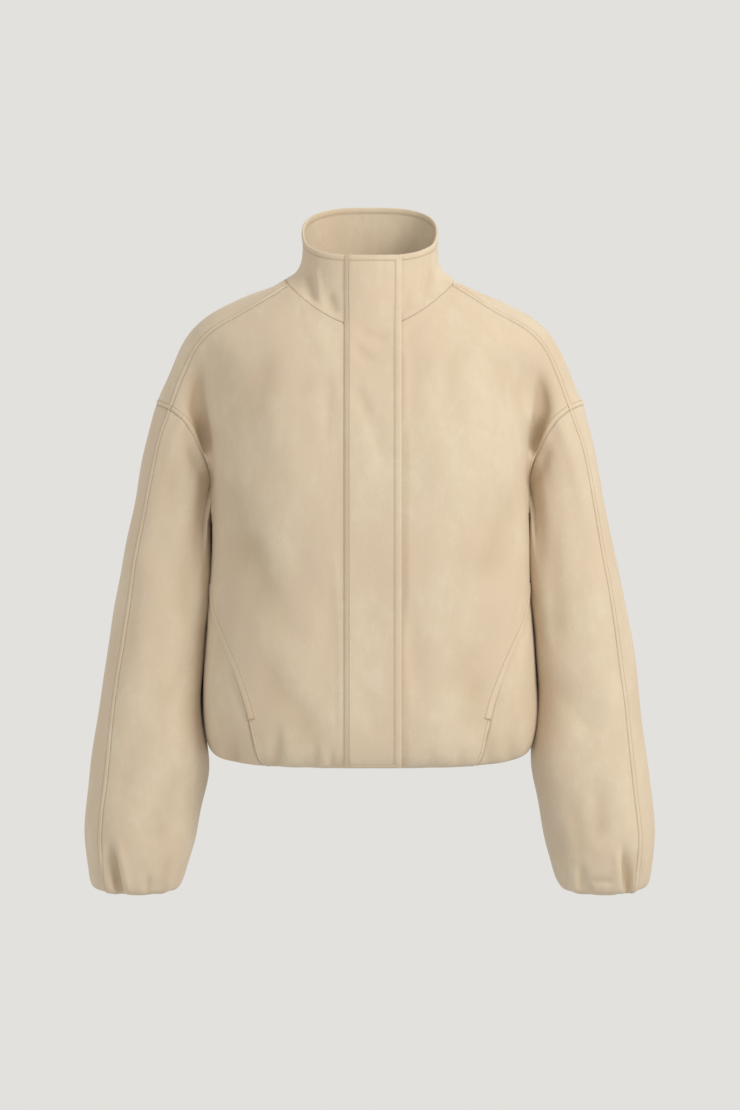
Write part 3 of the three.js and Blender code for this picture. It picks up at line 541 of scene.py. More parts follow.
FRONT_FOLDS = [
    # the soft valley between the chest and each sleeve
    Fold(-192, -76, -182, -232, 9, 9.5, 1.5),
    Fold(192, -82, 182, -232, 8, 8.0, 1.6),
    Fold(-176, -96, -172, -216, 7, -2.4, 1.6),
    Fold(176, -100, 172, -216, 7, -2.4, 1.6),
    # drags from the underarms towards the hem
    Fold(-168, -204, -118, -318, 15, 3.0, 1.8),
    Fold(-152, -262, -72, -420, 20, 2.6, 1.6),
    Fold(-134, -396, -44, -520, 19, 3.0, 1.7),
    Fold(-96, -250, -52, -372, 15, 1.8, 1.4),
    Fold(166, -206, 116, -344, 15, 3.0, 1.8),
    Fold(150, -340, 64, -474, 21, 3.0, 1.6),
    Fold(104, -276, 58, -392, 16, 2.0, 1.5),
    Fold(126, -420, 96, -500, 13, 2.2, 1.4),
    # the chest, under the shoulder seams
    Fold(-112, -64, -128, -170, 15, 2.0, 1.4),
    Fold(-62, -60, -78, -142, 13, 1.6, 1.4),
    Fold(95, -54, 80, -168, 14, 2.0, 1.4),
    Fold(136, -74, 150, -150, 14, 1.8, 1.4),
    # beside the flap
    Fold(-44, -100, -47, -190, 6, 1.5, 1.5),
    Fold(-42, -300, -46, -420, 8, 1.4, 1.5),
    Fold(50, -60, 44, -168, 9, 1.6, 1.4),
    Fold(46, -330, 52, -480, 9, 1.8, 1.4),
    # gathers at the hem
    Fold(-148, -486, -150, -580, 6, 3.4, 1.5),
    Fold(-122, -500, -126, -580, 5, -1.6, 1.3),
    Fold(-100, -474, -101, -580, 6, 3.2, 1.5),
    Fold(-59, -490, -58, -580, 5, 2.8, 1.5),
    Fold(-42, -500, -42, -580, 4, 2.2, 1.3),
    Fold(64, -502, 66, -580, 6, 2.2, 1.5),
    Fold(96, -498, 99, -580, 6, 2.0, 1.4),
    Fold(128, -480, 136, -580, 6, 3.2, 1.5),
    Fold(156, -490, 160, -580, 6, 3.0, 1.5),
    # the wearer's right sleeve
    Fold(-214, -176, -236, -330, 13, 2.6, 1.5),
    Fold(-192, -250, -204, -400, 9, 3.0, 1.5),
    Fold(-186, -400, -246, -492, 13, 2.8, 1.5),
    Fold(-258, -300, -272, -440, 12, 1.8, 1.4),
    Fold(-244, -468, -286, -586, 15, 2.4, 1.4),
    Fold(-214, -520, -238, -640, 12, 2.6, 1.5),
    Fold(-288, -612, -273, -700, 4, 6.0, 1.4),
    Fold(-280, -610, -264, -700, 5, -2.4, 1.4),
    Fold(-303, -634, -297, -700, 4, 2.6, 1.3),
    Fold(-245, -650, -246, -700, 4, 3.2, 1.3),
    Fold(-222, -630, -230, -700, 6, 2.6, 1.4),
    # the wearer's left sleeve
    Fold(214, -180, 240, -340, 13, 2.6, 1.5),
    Fold(194, -260, 208, -420, 10, 3.0, 1.5),
    Fold(190, -430, 256, -506, 14, 2.6, 1.5),
    Fold(266, -330, 280, -470, 12, 1.8, 1.4),
    Fold(250, -540, 254, -630, 9, 2.8, 1.5),
    Fold(218, -556, 240, -660, 11, 2.2, 1.4),
    Fold(279, -616, 288, -700, 4, 6.0, 1.4),
    Fold(271, -620, 278, -700, 5, -2.4, 1.4),
    Fold(302, -640, 298, -700, 4, 2.2, 1.3),
    Fold(240, -664, 272, -664, 4, 1.6, 1.3),
    Fold(232, -640, 236, -700, 5, 2.8, 1.4),
]
BACK_FOLDS = [
    Fold(-178, -120, -120, -300, 16, 3.6, 1.6),
    Fold(178, -116, 122, -286, 16, 3.4, 1.6),
    Fold(-150, -300, -60, -470, 22, 3.0, 1.6),
    Fold(146, -320, 70, -460, 22, 2.8, 1.6),
    Fold(-70, -60, -96, -190, 16, 2.2, 1.4),
    Fold(74, -64, 92, -180, 16, 2.0, 1.4),
    Fold(-6, -250, 4, -420, 24, 1.8, 1.3),
    Fold(-128, -478, -132, -580, 7, 3.0, 1.5),
    Fold(-84, -492, -82, -580, 6, 2.6, 1.4),
    Fold(-36, -484, -40, -580, 7, 2.8, 1.5),
    Fold(16, -496, 18, -580, 6, 2.4, 1.4),
    Fold(64, -482, 66, -580, 7, 3.0, 1.5),
    Fold(124, -488, 128, -580, 7, 2.8, 1.5),
    Fold(-216, -190, -240, -360, 14, 2.8, 1.5),
    Fold(-206, -380, -262, -500, 15, 2.8, 1.5),
    Fold(-284, -590, -272, -700, 6, 4.0, 1.4),
    Fold(-250, -600, -254, -700, 6, 3.6, 1.4),
    Fold(218, -200, 244, -380, 14, 2.8, 1.5),
    Fold(208, -410, 262, -520, 15, 2.8, 1.5),
    Fold(282, -600, 274, -700, 6, 3.8, 1.4),
    Fold(248, -606, 250, -700, 6, 3.4, 1.4),
]
print("folds placed:", len(FRONT_FOLDS), "in front,", len(BACK_FOLDS), "behind")

# %% [markdown]
# ## Laying the folds on the sheets
# Every point of a sheet moves along its own normal: in for a valley, out for a ridge. A valley is a
# bell curve across its line, wider on one side, and it fades towards its ends. Long slow waves with
# no pattern are added below the folds, because no real skin hangs perfectly even.

# %% Fold maths
FADE_IN = (-0.02, 0.35)
FADE_OUT = (1.02, 0.7)
WAVE_COUNT = 9
WAVE_SIZES = (0.7, 1.6)
UPRIGHT_PART = 0.55


def ease(start, end, value):
    """Goes softly from 0 at the start value to 1 at the end value."""
    part = np.clip((value - start) / (end - start), 0, 1)
    return part * part * (3 - 2 * part)


def fold_depth(fold, x, z):
    """How far one fold pushes each point in, in millimetres."""
    length = math.hypot(fold.x2 - fold.x1, fold.z2 - fold.z1)
    step_x = (fold.x2 - fold.x1) / length
    step_z = (fold.z2 - fold.z1) / length
    part = ((x - fold.x1) * step_x + (z - fold.z1) * step_z) / length
    away = (x - fold.x1) * step_z - (z - fold.z1) * step_x
    outside = away * np.sign(fold.x1 + fold.x2) * -1
    width = np.where(outside > 0, fold.width * fold.lean, fold.width)
    fade = ease(*FADE_IN, part) * ease(*FADE_OUT, part)
    return fold.depth * np.exp(-((away / width) ** 2)) * fade


def waves(points, size, depth, seed):
    """Slow uneven waves: a few sine waves that run different ways."""
    chance = np.random.default_rng(seed)
    total = np.zeros(len(points))
    for _ in range(WAVE_COUNT):
        direction = chance.normal(size=3) * (1, 1, UPRIGHT_PART)
        direction /= np.linalg.norm(direction)
        pace = 2 * math.pi / (size * chance.uniform(*WAVE_SIZES))
        total += np.sin(points @ direction * pace + chance.uniform(0, 2 * math.pi))
    return depth * total / math.sqrt(WAVE_COUNT)


def write_shade(mesh, values):
    """Stores how much shade the suede paints at each point, from how deep it lies in a fold or at a seam.
    """
    layer = mesh.attributes.get("fold") or mesh.attributes.new("fold", "FLOAT", "POINT")
    layer.data.foreach_set("value", np.asarray(values, dtype=np.float32))


print("the first fold is", round(float(fold_depth(FRONT_FOLDS[0], -190.0, -140.0)), 1), "mm deep")

# %% [markdown]
# ## Edges and the stitches that hold them
# Much of what follows asks how far a point is from a seam, which search trees answer quickly. Folds
# fade towards an armhole and the neck, where many stitches hold the cloth. They run on across the
# other seams, and both edges have to move alike there, so their normals are turned to a shared mean.
# Sheets welded into one would stay together too, but they couldn't be told apart any more.

# %% Edges of the sheets
def border_of(piece):
    """The points along a sheet's edge, as row numbers."""
    shape = shape_of(piece.data)
    rows = [vert.index for vert in shape.verts if vert.is_boundary]
    shape.free()
    return np.array(rows)


def unit(rows):
    """The same directions, each one long."""
    return rows / np.maximum(np.linalg.norm(rows, axis=1), 1e-9)[:, None]


def edge_distance(points, edge_points):
    """How far each point is from the nearest of some edge points."""
    tree = tree_of(edge_points)
    return np.array([tree.find(point)[2] for point in points])


def fine_edge(node, step=0.5):
    """The edge of a sheet as close points, with the normals of the cloth there."""
    mesh, points, normals = opened(cloth[node])
    shape = shape_of(mesh)
    places = []
    directions = []
    for edge in shape.edges:
        if not edge.is_boundary:
            continue
        first, second = (vert.index for vert in edge.verts)
        count = max(1, int(np.linalg.norm(points[first] - points[second]) / step))
        for part in np.arange(count) / count:
            places.append(points[first] * (1 - part) + points[second] * part)
            directions.append(normals[first] * (1 - part) + normals[second] * part)
    shape.free()
    return np.array(places), np.array(directions)


borders = {node: border_of(piece) for node, piece in cloth.items()}
edges = {node: read_points(piece.data)[borders[node]] for node, piece in cloth.items()}
edges_before = np.concatenate([edges[node] for node in BODY + SLEEVES])
print("points along the edge of the back:", len(borders["back"]))

# %% Hold the cloth at its stitched edges
HELD = 16
HELD_REACH = 6
SEAM_REACH = 3.0
TURN_REACH = 12
SIDEWAYS = 0.25

group_of = {node: "sleeve" if node in SLEEVES else "body" for node in CLOTH}
group_of["collar"] = "collar"


def joined_edges(nodes):
    """The close points along the edges of several sheets, and the normals there."""
    return [np.concatenate([fine_edges[n][column] for n in nodes]) for column in (0, 1)]


def held_edges(node):
    """The stretches of a sheet's edge that meet a sheet of another group, such as an armhole."""
    others = [n for n in CLOTH if group_of[n] != group_of[node] and n != "placket"]
    strange = np.concatenate([edges[n] for n in others])
    return edges[node][edge_distance(edges[node], strange) < HELD_REACH]


def facing_front(normals):
    """1 where the cloth faces the front and 0 where it faces the back."""
    return ease(SIDEWAYS, -SIDEWAYS, normals[:, 1])


def all_folds(points, normals):
    """The depth of all the folds and waves at each point. Front folds reach only what faces front."""
    x, y, z = points.T
    front = facing_front(normals)
    depth = waves(points, size=150, depth=1.1, seed=5) + waves(points, size=60, depth=0.45, seed=9)
    for fold in FRONT_FOLDS:
        depth += fold_depth(fold, x, z) * front
    for fold in BACK_FOLDS:
        depth += fold_depth(fold, x, z) * (1 - front)
    return depth


def shared_normals(node):
    """The normals of a sheet, turned near its edges to the mean with its neighbour's.

    Two sheets that move along the same normals at a seam stay together there."""
    _, points, normals = opened(cloth[node])
    others = [n for n in BODY + SLEEVES if n != node and group_of[n] == group_of[node]]
    near_points, near_normals = joined_edges(others)
    near = tree_of(near_points)
    rows = borders[node]
    turns = np.zeros((len(rows), 3))
    for i, row in enumerate(rows):
        _, other, away = near.find(points[row])
        if away < SEAM_REACH:
            turns[i] = unit((normals[row] + near_normals[other])[None])[0] - normals[row]
    own = tree_of(points[rows])
    for row, point in enumerate(points):
        _, i, away = own.find(point)
        if away < TURN_REACH:
            normals[row] += turns[i] * float(ease(TURN_REACH, 0, away))
    return unit(normals)


print("sheets with a held edge:", [node for node in BODY + SLEEVES if len(held_edges(node))])

# %% [markdown]
# ## Fold the sheets
# Three places need care. Near the hem and the cuffs a point moves only sideways, so that the lips
# stay level. Under the arms the sleeves are pressed to the body, or daylight would show. Under the
# flap the fronts stay smooth, because a fold there would push through it.

# %% Fold the sheets
HEM_Z = -530
CUFF_Z = -681
LIP_START = 34
LIP_FULL = 8
PRESSED = 2.6
PRESSED_FROM = (-400, -345)
PRESSED_UP_TO = (-175, -215)
FACING_BODY = (0.2, 0.75)
UNDER_FLAP = (-31, 35)
FLAP_MARGIN = 8
DEEP_FOLD = 6
PALEST = -0.5


def near_lip(node, z):
    """How near each point is to the open end of its sheet, from 0 to 1."""
    lip = CUFF_Z if node in SLEEVES else HEM_Z
    return ease(lip + LIP_START, lip + LIP_FULL, z)


def pressed_out(points, normals):
    """How far the inner side of a sleeve moves towards the body, in millimetres."""
    x, y, z = points.T
    toward_body = ease(*FACING_BODY, -normals[:, 0] * np.sign(x))
    return PRESSED * toward_body * ease(*PRESSED_FROM, z) * ease(*PRESSED_UP_TO, z)


def under_flap(x):
    """1 for points under the flap and 0 beside it."""
    low, high = UNDER_FLAP
    return ease(low - FLAP_MARGIN, low, x) * ease(high + FLAP_MARGIN, high, x)


fine_edges = {node: fine_edge(node) for node in BODY + SLEEVES}
for node in BODY + SLEEVES:
    mesh = cloth[node].data
    points = read_points(mesh)
    normals = shared_normals(node)
    normals[:, 2] *= 1 - near_lip(node, points[:, 2])
    depth = all_folds(points, normals) * ease(0, HELD, edge_distance(points, held_edges(node)))
    if node in SLEEVES:
        depth -= pressed_out(points, normals)
    if node.startswith("front"):
        depth *= 1 - under_flap(points[:, 0])
    write_points(mesh, points - normals * depth[:, None])
    # Painted shade: the deeper a point lies in a fold, the darker the suede is painted there.
    write_shade(mesh, np.clip(depth / DEEP_FOLD, PALEST, 1))
edges_after = np.concatenate([read_points(cloth[n].data)[borders[n]] for n in BODY + SLEEVES])
print("folded:", BODY + SLEEVES)

# %% [markdown]
# ## Pocket bags and casings follow the cloth
# The pocket bags hang just behind the fronts, so they take the same folds and lie a little deeper.
# The casings are the turned-in ends of the hem and the cuffs, which hold the elastic. Their lips move
# with the cloth that they are folded from, and further up they keep their own even form.

# %% Shape the pocket bags and the casings
BAG_CLEARANCE = 1.2
CASING_FADE = (26, 2)

for piece in bags.values():
    _, points, normals = opened(piece)
    depth = all_folds(points, normals) + BAG_CLEARANCE
    write_points(piece.data, points - normals * depth[:, None])

lips = tree_of(edges_before)
for piece in casings.values():
    points = read_points(piece.data)
    for row, point in enumerate(points.copy()):
        _, i, away = lips.find(point)
        points[row] += (edges_after[i] - edges_before[i]) * float(ease(*CASING_FADE, away))
    write_points(piece.data, points)
print("moved with the cloth:", list(bags), list(casings))

# %% [markdown]
# ## Collar and flap
# The funnel collar stands up, leans in at the front and has a few short creases where it bends into
# the neck seam. The storm flap is one long strip over the closing. Their creases are small, so they
# are kept in tables of their own.

# %% Fold the collar and the flap
EDGE_FADE = 9
DEEP_CREASE = 4
COLLAR_FOLDS = [
    Fold(-68, 16, -60, -32, 5, 2.6, 1.5),
    Fold(-60, 18, -55, -28, 4, -1.6, 1.4),
    Fold(-47, -14, -36, -42, 5, 2.0, 1.5),
    Fold(70, 20, 54, -26, 6, 2.6, 1.5),
    Fold(62, 14, 50, -20, 5, -1.4, 1.4),
    Fold(44, -10, 38, -38, 5, 1.4, 1.5),
]
FLAP_FOLDS = [
    Fold(-20, -57, 24, -68, 5, 1.2, 1.5),
    Fold(-20, -72, 8, -94, 5, 1.4, 1.5),
    Fold(-18, -110, 2, -152, 6, 1.3, 1.5),
    Fold(-6, -130, 20, -214, 8, 1.2, 1.5),
    Fold(16, -300, -8, -392, 10, 1.0, 1.5),
    Fold(-10, -430, 12, -500, 9, 1.0, 1.5),
]
for node, folds in (("collar", COLLAR_FOLDS), ("placket", FLAP_FOLDS)):
    mesh, points, normals = opened(cloth[node])
    x, y, z = points.T
    depth = sum(fold_depth(fold, x, z) for fold in folds) * facing_front(normals)
    depth += waves(points, size=70, depth=0.35, seed=3)
    depth *= ease(0, EDGE_FADE, edge_distance(points, edges[node]))
    write_points(mesh, points - normals * depth[:, None])
    # Painted shade: the deeper a point lies in a crease, the darker the suede is painted there.
    write_shade(mesh, np.clip(depth / DEEP_CREASE, PALEST, 1))
print("folded: collar and flap")

# %% [markdown]
# ## Seams
# Two pieces are sewn together along their edges, and the stitches pull both edges in, which leaves
# a fine soft groove, and shade is painted along it. Here each edge point first moves half way to the
# nearest edge of its neighbour, and then both go in along the same direction, so that no gap or step
# is left. At the mouth of a pocket nothing is sewn, and the side panel sinks a little behind the front.

# %% Bring the edges together
SEAM_DEPTH = 0.5
LEFT_APART = 0.06
SEAM_SHADE = 0.7
POCKET_TOP = -336
POCKET_END = -479
MOUTH_PAST = 4
MOUTH_INSIDE = 6
POCKET_SINK = 1.7
SINK_FADE = (16, 3)


def at_pocket(node, points):
    """How much each point of a front or a side belongs to the mouth of a pocket, from 0 to 1."""
    if not node.startswith(("front", "side")):
        return np.zeros(len(points))
    z = points[:, 2]
    other = ("side" if node.startswith("front") else "front") + node[node.index("_"):]
    below_top = ease(POCKET_TOP + MOUTH_PAST, POCKET_TOP - MOUTH_INSIDE, z)
    above_end = ease(POCKET_END - MOUTH_PAST, POCKET_END + MOUTH_INSIDE, z)
    return below_top * above_end * (edge_distance(points, fine_edges[other][0]) < SEAM_REACH)


fine_edges = {node: fine_edge(node) for node in BODY + SLEEVES + ("collar",)}
moved = {}
for node in fine_edges:
    mesh, points, normals = opened(cloth[node])
    others = [n for n in fine_edges if n != node]
    near_points, near_normals = joined_edges(others)
    tree = tree_of(near_points)
    shade = np.empty(len(points), dtype=np.float32)
    mesh.attributes["fold"].data.foreach_get("value", shade)
    mouth = np.zeros(len(points))
    mouth[borders[node]] = at_pocket(node, points[borders[node]])
    for row in borders[node]:
        _, i, away = tree.find(points[row])
        if away > SEAM_REACH:
            continue
        sewn = 1 - mouth[row]
        inward = -unit((normals[row] + near_normals[i])[None])[0]
        points[row] += (near_points[i] - points[row]) * (0.5 - LEFT_APART) * sewn
        points[row] += inward * SEAM_DEPTH * sewn
        # Painted shade along the seam's groove.
        shade[row] = SEAM_SHADE
    if node.startswith("side"):
        lip = tree_of(points[borders[node]])
        for row, point in enumerate(points):
            _, i, away = lip.find(point)
            sink = mouth[borders[node][i]] * POCKET_SINK * float(ease(*SINK_FADE, away))
            points[row] -= normals[row] * sink
    moved[node] = points
    write_shade(mesh, shade)
for node, points in moved.items():
    write_points(cloth[node].data, points)
print("seams pulled in by", SEAM_DEPTH, "mm on", len(moved), "sheets")

# %% [markdown]
# ## Sew the flap down
# The storm flap is sewn to the wearer's right front along one side. A search tree of a finished
# sheet tells where the cloth lies nearest to a spot. It lays the flap's sewn side down here, and
# the bands later. A Shrinkwrap modifier could do it too, but would need painted weights.

# %% Sew the flap down along its inner edge
FLAP_SEWN = -21
FLAP_EDGE = -28
FLAP_LIFT = 0.6


def surface_of(piece):
    """A search tree of a sheet, to lay things on it."""
    shape = shape_of(piece.data)
    tree = BVHTree.FromBMesh(shape)
    shape.free()
    return tree


def nearest(surface, spot):
    """The place, the normal, the face and the distance of the cloth nearest to a spot."""
    return surface.find_nearest(Vector(spot * MM))


surfaces = {node: surface_of(cloth[node]) for node in CLOTH if node != "placket"}
mesh = cloth["placket"].data
points = read_points(mesh)
for row in np.flatnonzero(points[:, 0] < FLAP_SEWN):
    under = [nearest(surfaces[node], points[row]) for node in ("front_right", "collar")]
    place, normal, _, _ = min(under, key=lambda found: found[3])
    target = np.array(place + normal * FLAP_LIFT * MM) / MM
    points[row] += (target - points[row]) * float(ease(FLAP_SEWN, FLAP_EDGE, points[row][0]))
write_points(mesh, points)
surfaces["placket"] = surface_of(cloth["placket"])
print("the flap's sewn edge lies", FLAP_LIFT, "mm above the cloth under it")

# %% [markdown]
# ## Topstitched seams
# On suede both edges of a seam are turned to one side and stitched down, so a flat raised band runs
# beside the seam with a row of thread along its far side. Its outline across is a short table: how
# far in from the edge, how high, and how much shade is painted there, dark in the stitch grooves and
# along the seam. At the collar's rim and the flap it wraps round the edge. A bump in the finish could
# draw a band too, but it would look flat from the side.

# %% Outlines of the bands
Step = namedtuple("Step", "aside height shade")

TOPSTITCHED = [
    Step(0.0, -0.25, 1.0),
    Step(0.5, 0.30, 0.4),
    Step(1.2, 0.66, -0.1),
    Step(2.6, 0.80, -0.2),
    Step(4.2, 0.66, 0.0),
    Step(5.0, 0.26, 0.7),
    Step(5.4, 0.16, 1.0),
    Step(5.8, 0.24, 0.6),
    Step(6.6, 0.30, 0.0),
    Step(7.8, -0.45, 0.0),
]
POCKET_WELT = [
    Step(-0.4, -1.2, 1.0),
    Step(-0.1, 0.20, 0.2),
    Step(0.8, 0.72, -0.2),
    Step(3.0, 0.78, -0.1),
    Step(6.4, 0.62, 0.0),
    Step(7.5, 0.26, 0.7),
    Step(8.0, 0.14, 1.0),
    Step(8.5, 0.24, 0.6),
    Step(9.3, 0.28, 0.0),
    Step(10.6, -0.45, 0.0),
]
ROLLED = [
    Step(7.6, -0.40, 0.0),
    Step(6.6, 0.28, 0.0),
    Step(5.9, 0.22, 0.6),
    Step(5.5, 0.14, 1.0),
    Step(5.1, 0.26, 0.7),
    Step(4.2, 0.62, 0.0),
    Step(2.2, 0.80, -0.2),
    Step(0.4, 0.62, -0.2),
    Step(-0.6, 0.05, 0.0),
    Step(-0.95, -1.0, 0.0),
    Step(-0.6, -2.1, 0.0),
    Step(0.4, -2.6, 0.1),
    Step(2.2, -2.8, 0.0),
    Step(4.2, -2.6, 0.2),
    Step(5.1, -2.25, 0.7),
    Step(5.5, -2.15, 1.0),
    Step(5.9, -2.2, 0.6),
    Step(6.6, -2.3, 0.1),
    Step(7.6, -1.6, 0.0),
]


def widened(outline, width, full=5.5):
    """The same outline with its stitches at another distance from the edge."""
    return [Step(step.aside * width / full, step.height, step.shade) for step in outline]


print("outlines:", len(TOPSTITCHED), len(POCKET_WELT), len(ROLLED), "steps")

# %% [markdown]
# ## Paths along the seams
# A band needs a path. A sheet's edge is walked into a closed loop, cut into the stretches that touch
# a neighbour and divided into even steps. Edges picked by hand would have to be picked again after
# each change of the CAD piece.

# %% Paths along the seams
PATH_STEP = 3.0


def edge_loop(node):
    """The points along a sheet's edge in order, all the way round."""
    mesh = cloth[node].data
    shape = shape_of(mesh)
    edge = next(edge for edge in shape.edges if edge.is_boundary)
    start, vert = edge.verts
    rows = [start.index]
    while vert != start:
        rows.append(vert.index)
        edge = next(e for e in vert.link_edges if e.is_boundary and e != edge)
        vert = edge.other_vert(vert)
    shape.free()
    return read_points(mesh)[rows]


def smoother(rows, times=2):
    """The same rows, each but the two at the ends evened out with its neighbours."""
    for _ in range(times):
        rows[1:-1] = rows[1:-1] / 2 + (rows[:-2] + rows[2:]) / 4
    return rows


def evenly(points, step=PATH_STEP):
    """The same line with its points at an even distance and a little smoother."""
    lengths = np.linalg.norm(np.diff(points, axis=0), axis=1)
    walked = np.concatenate([[0], np.cumsum(lengths)])
    places = np.linspace(0, walked[-1], max(2, round(walked[-1] / step)) + 1)
    return smoother(np.column_stack([np.interp(places, walked, axis) for axis in points.T]))


def stretches(node, test, shortest=25):
    """The stretches of a sheet's edge where a test holds, the one furthest to the front first."""
    points = edge_loop(node)
    holds = test(points)
    first = int(np.argmin(holds))
    points = np.roll(points, -first, axis=0)
    holds = np.roll(holds, -first).astype(int)
    ends = np.flatnonzero(np.diff(np.concatenate([[0], holds, [0]])))
    runs = [points[start:stop] for start, stop in ends.reshape(-1, 2)]
    runs = [run for run in runs if len(run) > 2 and np.linalg.norm(np.ptp(run, axis=0)) > shortest]
    return sorted((evenly(run) for run in runs), key=lambda run: run[:, 1].mean())


def seam(node, *neighbours):
    """The stretches of a sheet's edge that are sewn to some neighbours."""
    others = np.concatenate([fine_edge(n)[0] for n in neighbours])
    return stretches(node, lambda points: edge_distance(points, others) < SEAM_REACH)


print("stretches of the right armhole on the back:", len(seam("back", "sleeve_right_back")))

# %% [markdown]
# ## Strips and stitches on a sheet
# A band is a strip of suede: a grid with one column for each step of its outline, put down on the
# sheet and lifted by its height. A stitch of thick thread is one small bead, repeated by an Array
# modifier and bent along the groove by a Curve modifier. A bump in the finish would be lighter, but
# beads catch the light one by one.

# %% Lay strips on a sheet
PROBE = 5
BAND_MIDDLE = 4


def frames_along(surface, path):
    """At each point of a path: the way out of the cloth, and the way in from the edge."""
    along = unit(np.gradient(path, axis=0))

    def normals_at(spots):
        return unit(np.array([nearest(surface, spot)[1] for spot in spots]))

    def away(spots):
        return sum(nearest(surface, spot)[3] for spot in spots)

    inward = unit(np.cross(normals_at(path), along))
    if away(path + inward * PROBE) > away(path - inward * PROBE):
        inward = -inward
    out = unit(smoother(normals_at(path + inward * BAND_MIDDLE)))
    side = unit(np.cross(out, along))
    if (side * inward).sum() < 0:
        side = -side
    return out, side


def line_on(surface, path, frames, step):
    """A line beside a path, laid on the cloth and lifted by a height."""
    out, side = frames
    line = path + side * step.aside
    if step.aside > 0:
        line = np.array([nearest(surface, spot)[0] for spot in line]) / MM
    return line + out * step.height


def strip(name, lines, outline, out):
    """A strip through some lines, as a grid with one column for each."""
    last_column = len(lines) - 1
    last_row = len(lines[0]) - 1
    shape = bmesh.new()
    bmesh.ops.create_grid(shape, x_segments=last_column, y_segments=last_row, size=0.5)
    # The outline's shade goes into the "fold" attribute, which the suede paints as shade in the band's
    # grooves.
    shade = shape.verts.layers.float.new("fold")
    for vert in shape.verts:
        column = round((vert.co.x + 0.5) * last_column)
        row = round((vert.co.y + 0.5) * last_row)
        vert[shade] = outline[column].shade
        vert.co = Vector(lines[column][row] * MM)
    shape.normal_update()
    turned = sum(face.normal.dot(Vector(out[len(out) // 2])) for face in list(shape.faces)[:last_column])
    if turned < 0:
        bmesh.ops.reverse_faces(shape, faces=shape.faces)
    piece = new_piece(name, shape, SUEDE)
    piece.data.shade_smooth()
    soften(piece, 1)
    return piece


print("a band follows the cloth as it lies", BAND_MIDDLE, "mm from the edge")

# %% Rows of stitches
STITCH_LONG = 1.15
STITCH_WIDE = 0.40
STITCH_HIGH = 0.32
STITCH_PITCH = 3.2
additions = []


def stitch_row(name, line):
    """A row of stitches: one stitch, repeated along a line."""
    thread = bpy.data.curves.new(name, "CURVE")
    thread.dimensions = "3D"
    spline = thread.splines.new("POLY")
    spline.points.add(len(line) - 1)
    for spot, place in zip(spline.points, line):
        spot.co = (*(place * MM), 1)
    guide = bpy.data.objects.new(f"{name}_guide", thread)
    bpy.context.scene.collection.objects.link(guide)
    stitch = bmesh.new()
    bmesh.ops.create_uvsphere(stitch, u_segments=6, v_segments=4, radius=1)
    size = (STITCH_LONG * MM, STITCH_WIDE * MM, STITCH_HIGH * MM)
    bmesh.ops.scale(stitch, vec=size, verts=stitch.verts)
    bmesh.ops.translate(stitch, vec=(STITCH_LONG * MM, 0, 0), verts=stitch.verts)
    piece = new_piece(name, stitch, THREAD)
    repeat = piece.modifiers.new("repeat", "ARRAY")
    repeat.fit_type = "FIT_CURVE"
    repeat.curve = guide
    repeat.use_relative_offset = False
    repeat.use_constant_offset = True
    repeat.constant_offset_displace = (STITCH_PITCH * MM, 0, 0)
    follow = piece.modifiers.new("follow", "CURVE")
    follow.object = guide
    follow.deform_axis = "POS_X"
    bpy.context.view_layer.update()
    apply_modifiers(piece)
    piece.data.shade_smooth()
    bpy.data.objects.remove(guide)
    bpy.data.curves.remove(thread)
    return piece


def topstitch(name, node, path, outline):
    """A raised band on a sheet beside a path, with a row of stitches in each of its grooves."""
    surface = surfaces[node]
    frames = frames_along(surface, path)
    lines = [line_on(surface, path, frames, step) for step in outline]
    additions.append(strip(f"{name}_band", lines, outline, frames[0]))
    for i, step in enumerate(outline):
        if step.shade == 1 and step.aside > 1:
            additions.append(stitch_row(f"{name}_thread_{i}", lines[i]))


print("a stitch is", 2 * STITCH_LONG, "mm long")

# %% [markdown]
# ## Bar tacks
# The ends of a pocket's mouth carry the most strain, so a short dense bar of thread is sewn across
# each. A small block with rounded edges stands for it, as its single turns are too fine to show.

# %% Bar tacks
TACK_LONG = 8.4
TACK_WIDE = 1.8
TACK_HIGH = 1.1
TACK_ROUND = 0.4
TACK_LIFT = 0.75


def bar_tack(name, node, path, place):
    """A short dense bar of thread across the end of a pocket's mouth."""
    out, side = frames_along(surfaces[node], path)
    out = out[place]
    side = side[place]
    shape = bmesh.new()
    bmesh.ops.create_cube(shape, size=MM)
    bmesh.ops.scale(shape, vec=(TACK_LONG, TACK_WIDE, TACK_HIGH), verts=shape.verts)
    rounding = {"offset": TACK_ROUND * MM, "affect": "EDGES", "segments": 2, "profile": 0.5}
    bmesh.ops.bevel(shape, geom=shape.edges[:], material=-1, **rounding)
    turn = Matrix((side, np.cross(out, side), out)).transposed().to_4x4()
    middle = path[place] + side * (TACK_LONG / 2) + out * TACK_LIFT
    bmesh.ops.transform(shape, matrix=Matrix.Translation(middle * MM) @ turn, verts=shape.verts)
    piece = new_piece(name, shape, THREAD)
    piece.data.shade_smooth()
    return piece


print("a bar tack is", TACK_LONG, "mm long")

# %% [markdown]
# ## Lay the bands
# Naming the two sheets that meet is enough to find a seam, so one loop makes both sides. The rim of
# the collar and the sides of the flap meet nothing. They are found by their distance from the neck
# seam and from the ends of the flap's box. Mirrored bands would miss, as the folds have no twins.

# %% Bands on the body and the sleeves
BELOW_HEM = -600


def between(points, low, high):
    return points[(points[:, 2] > low) & (points[:, 2] < high)]


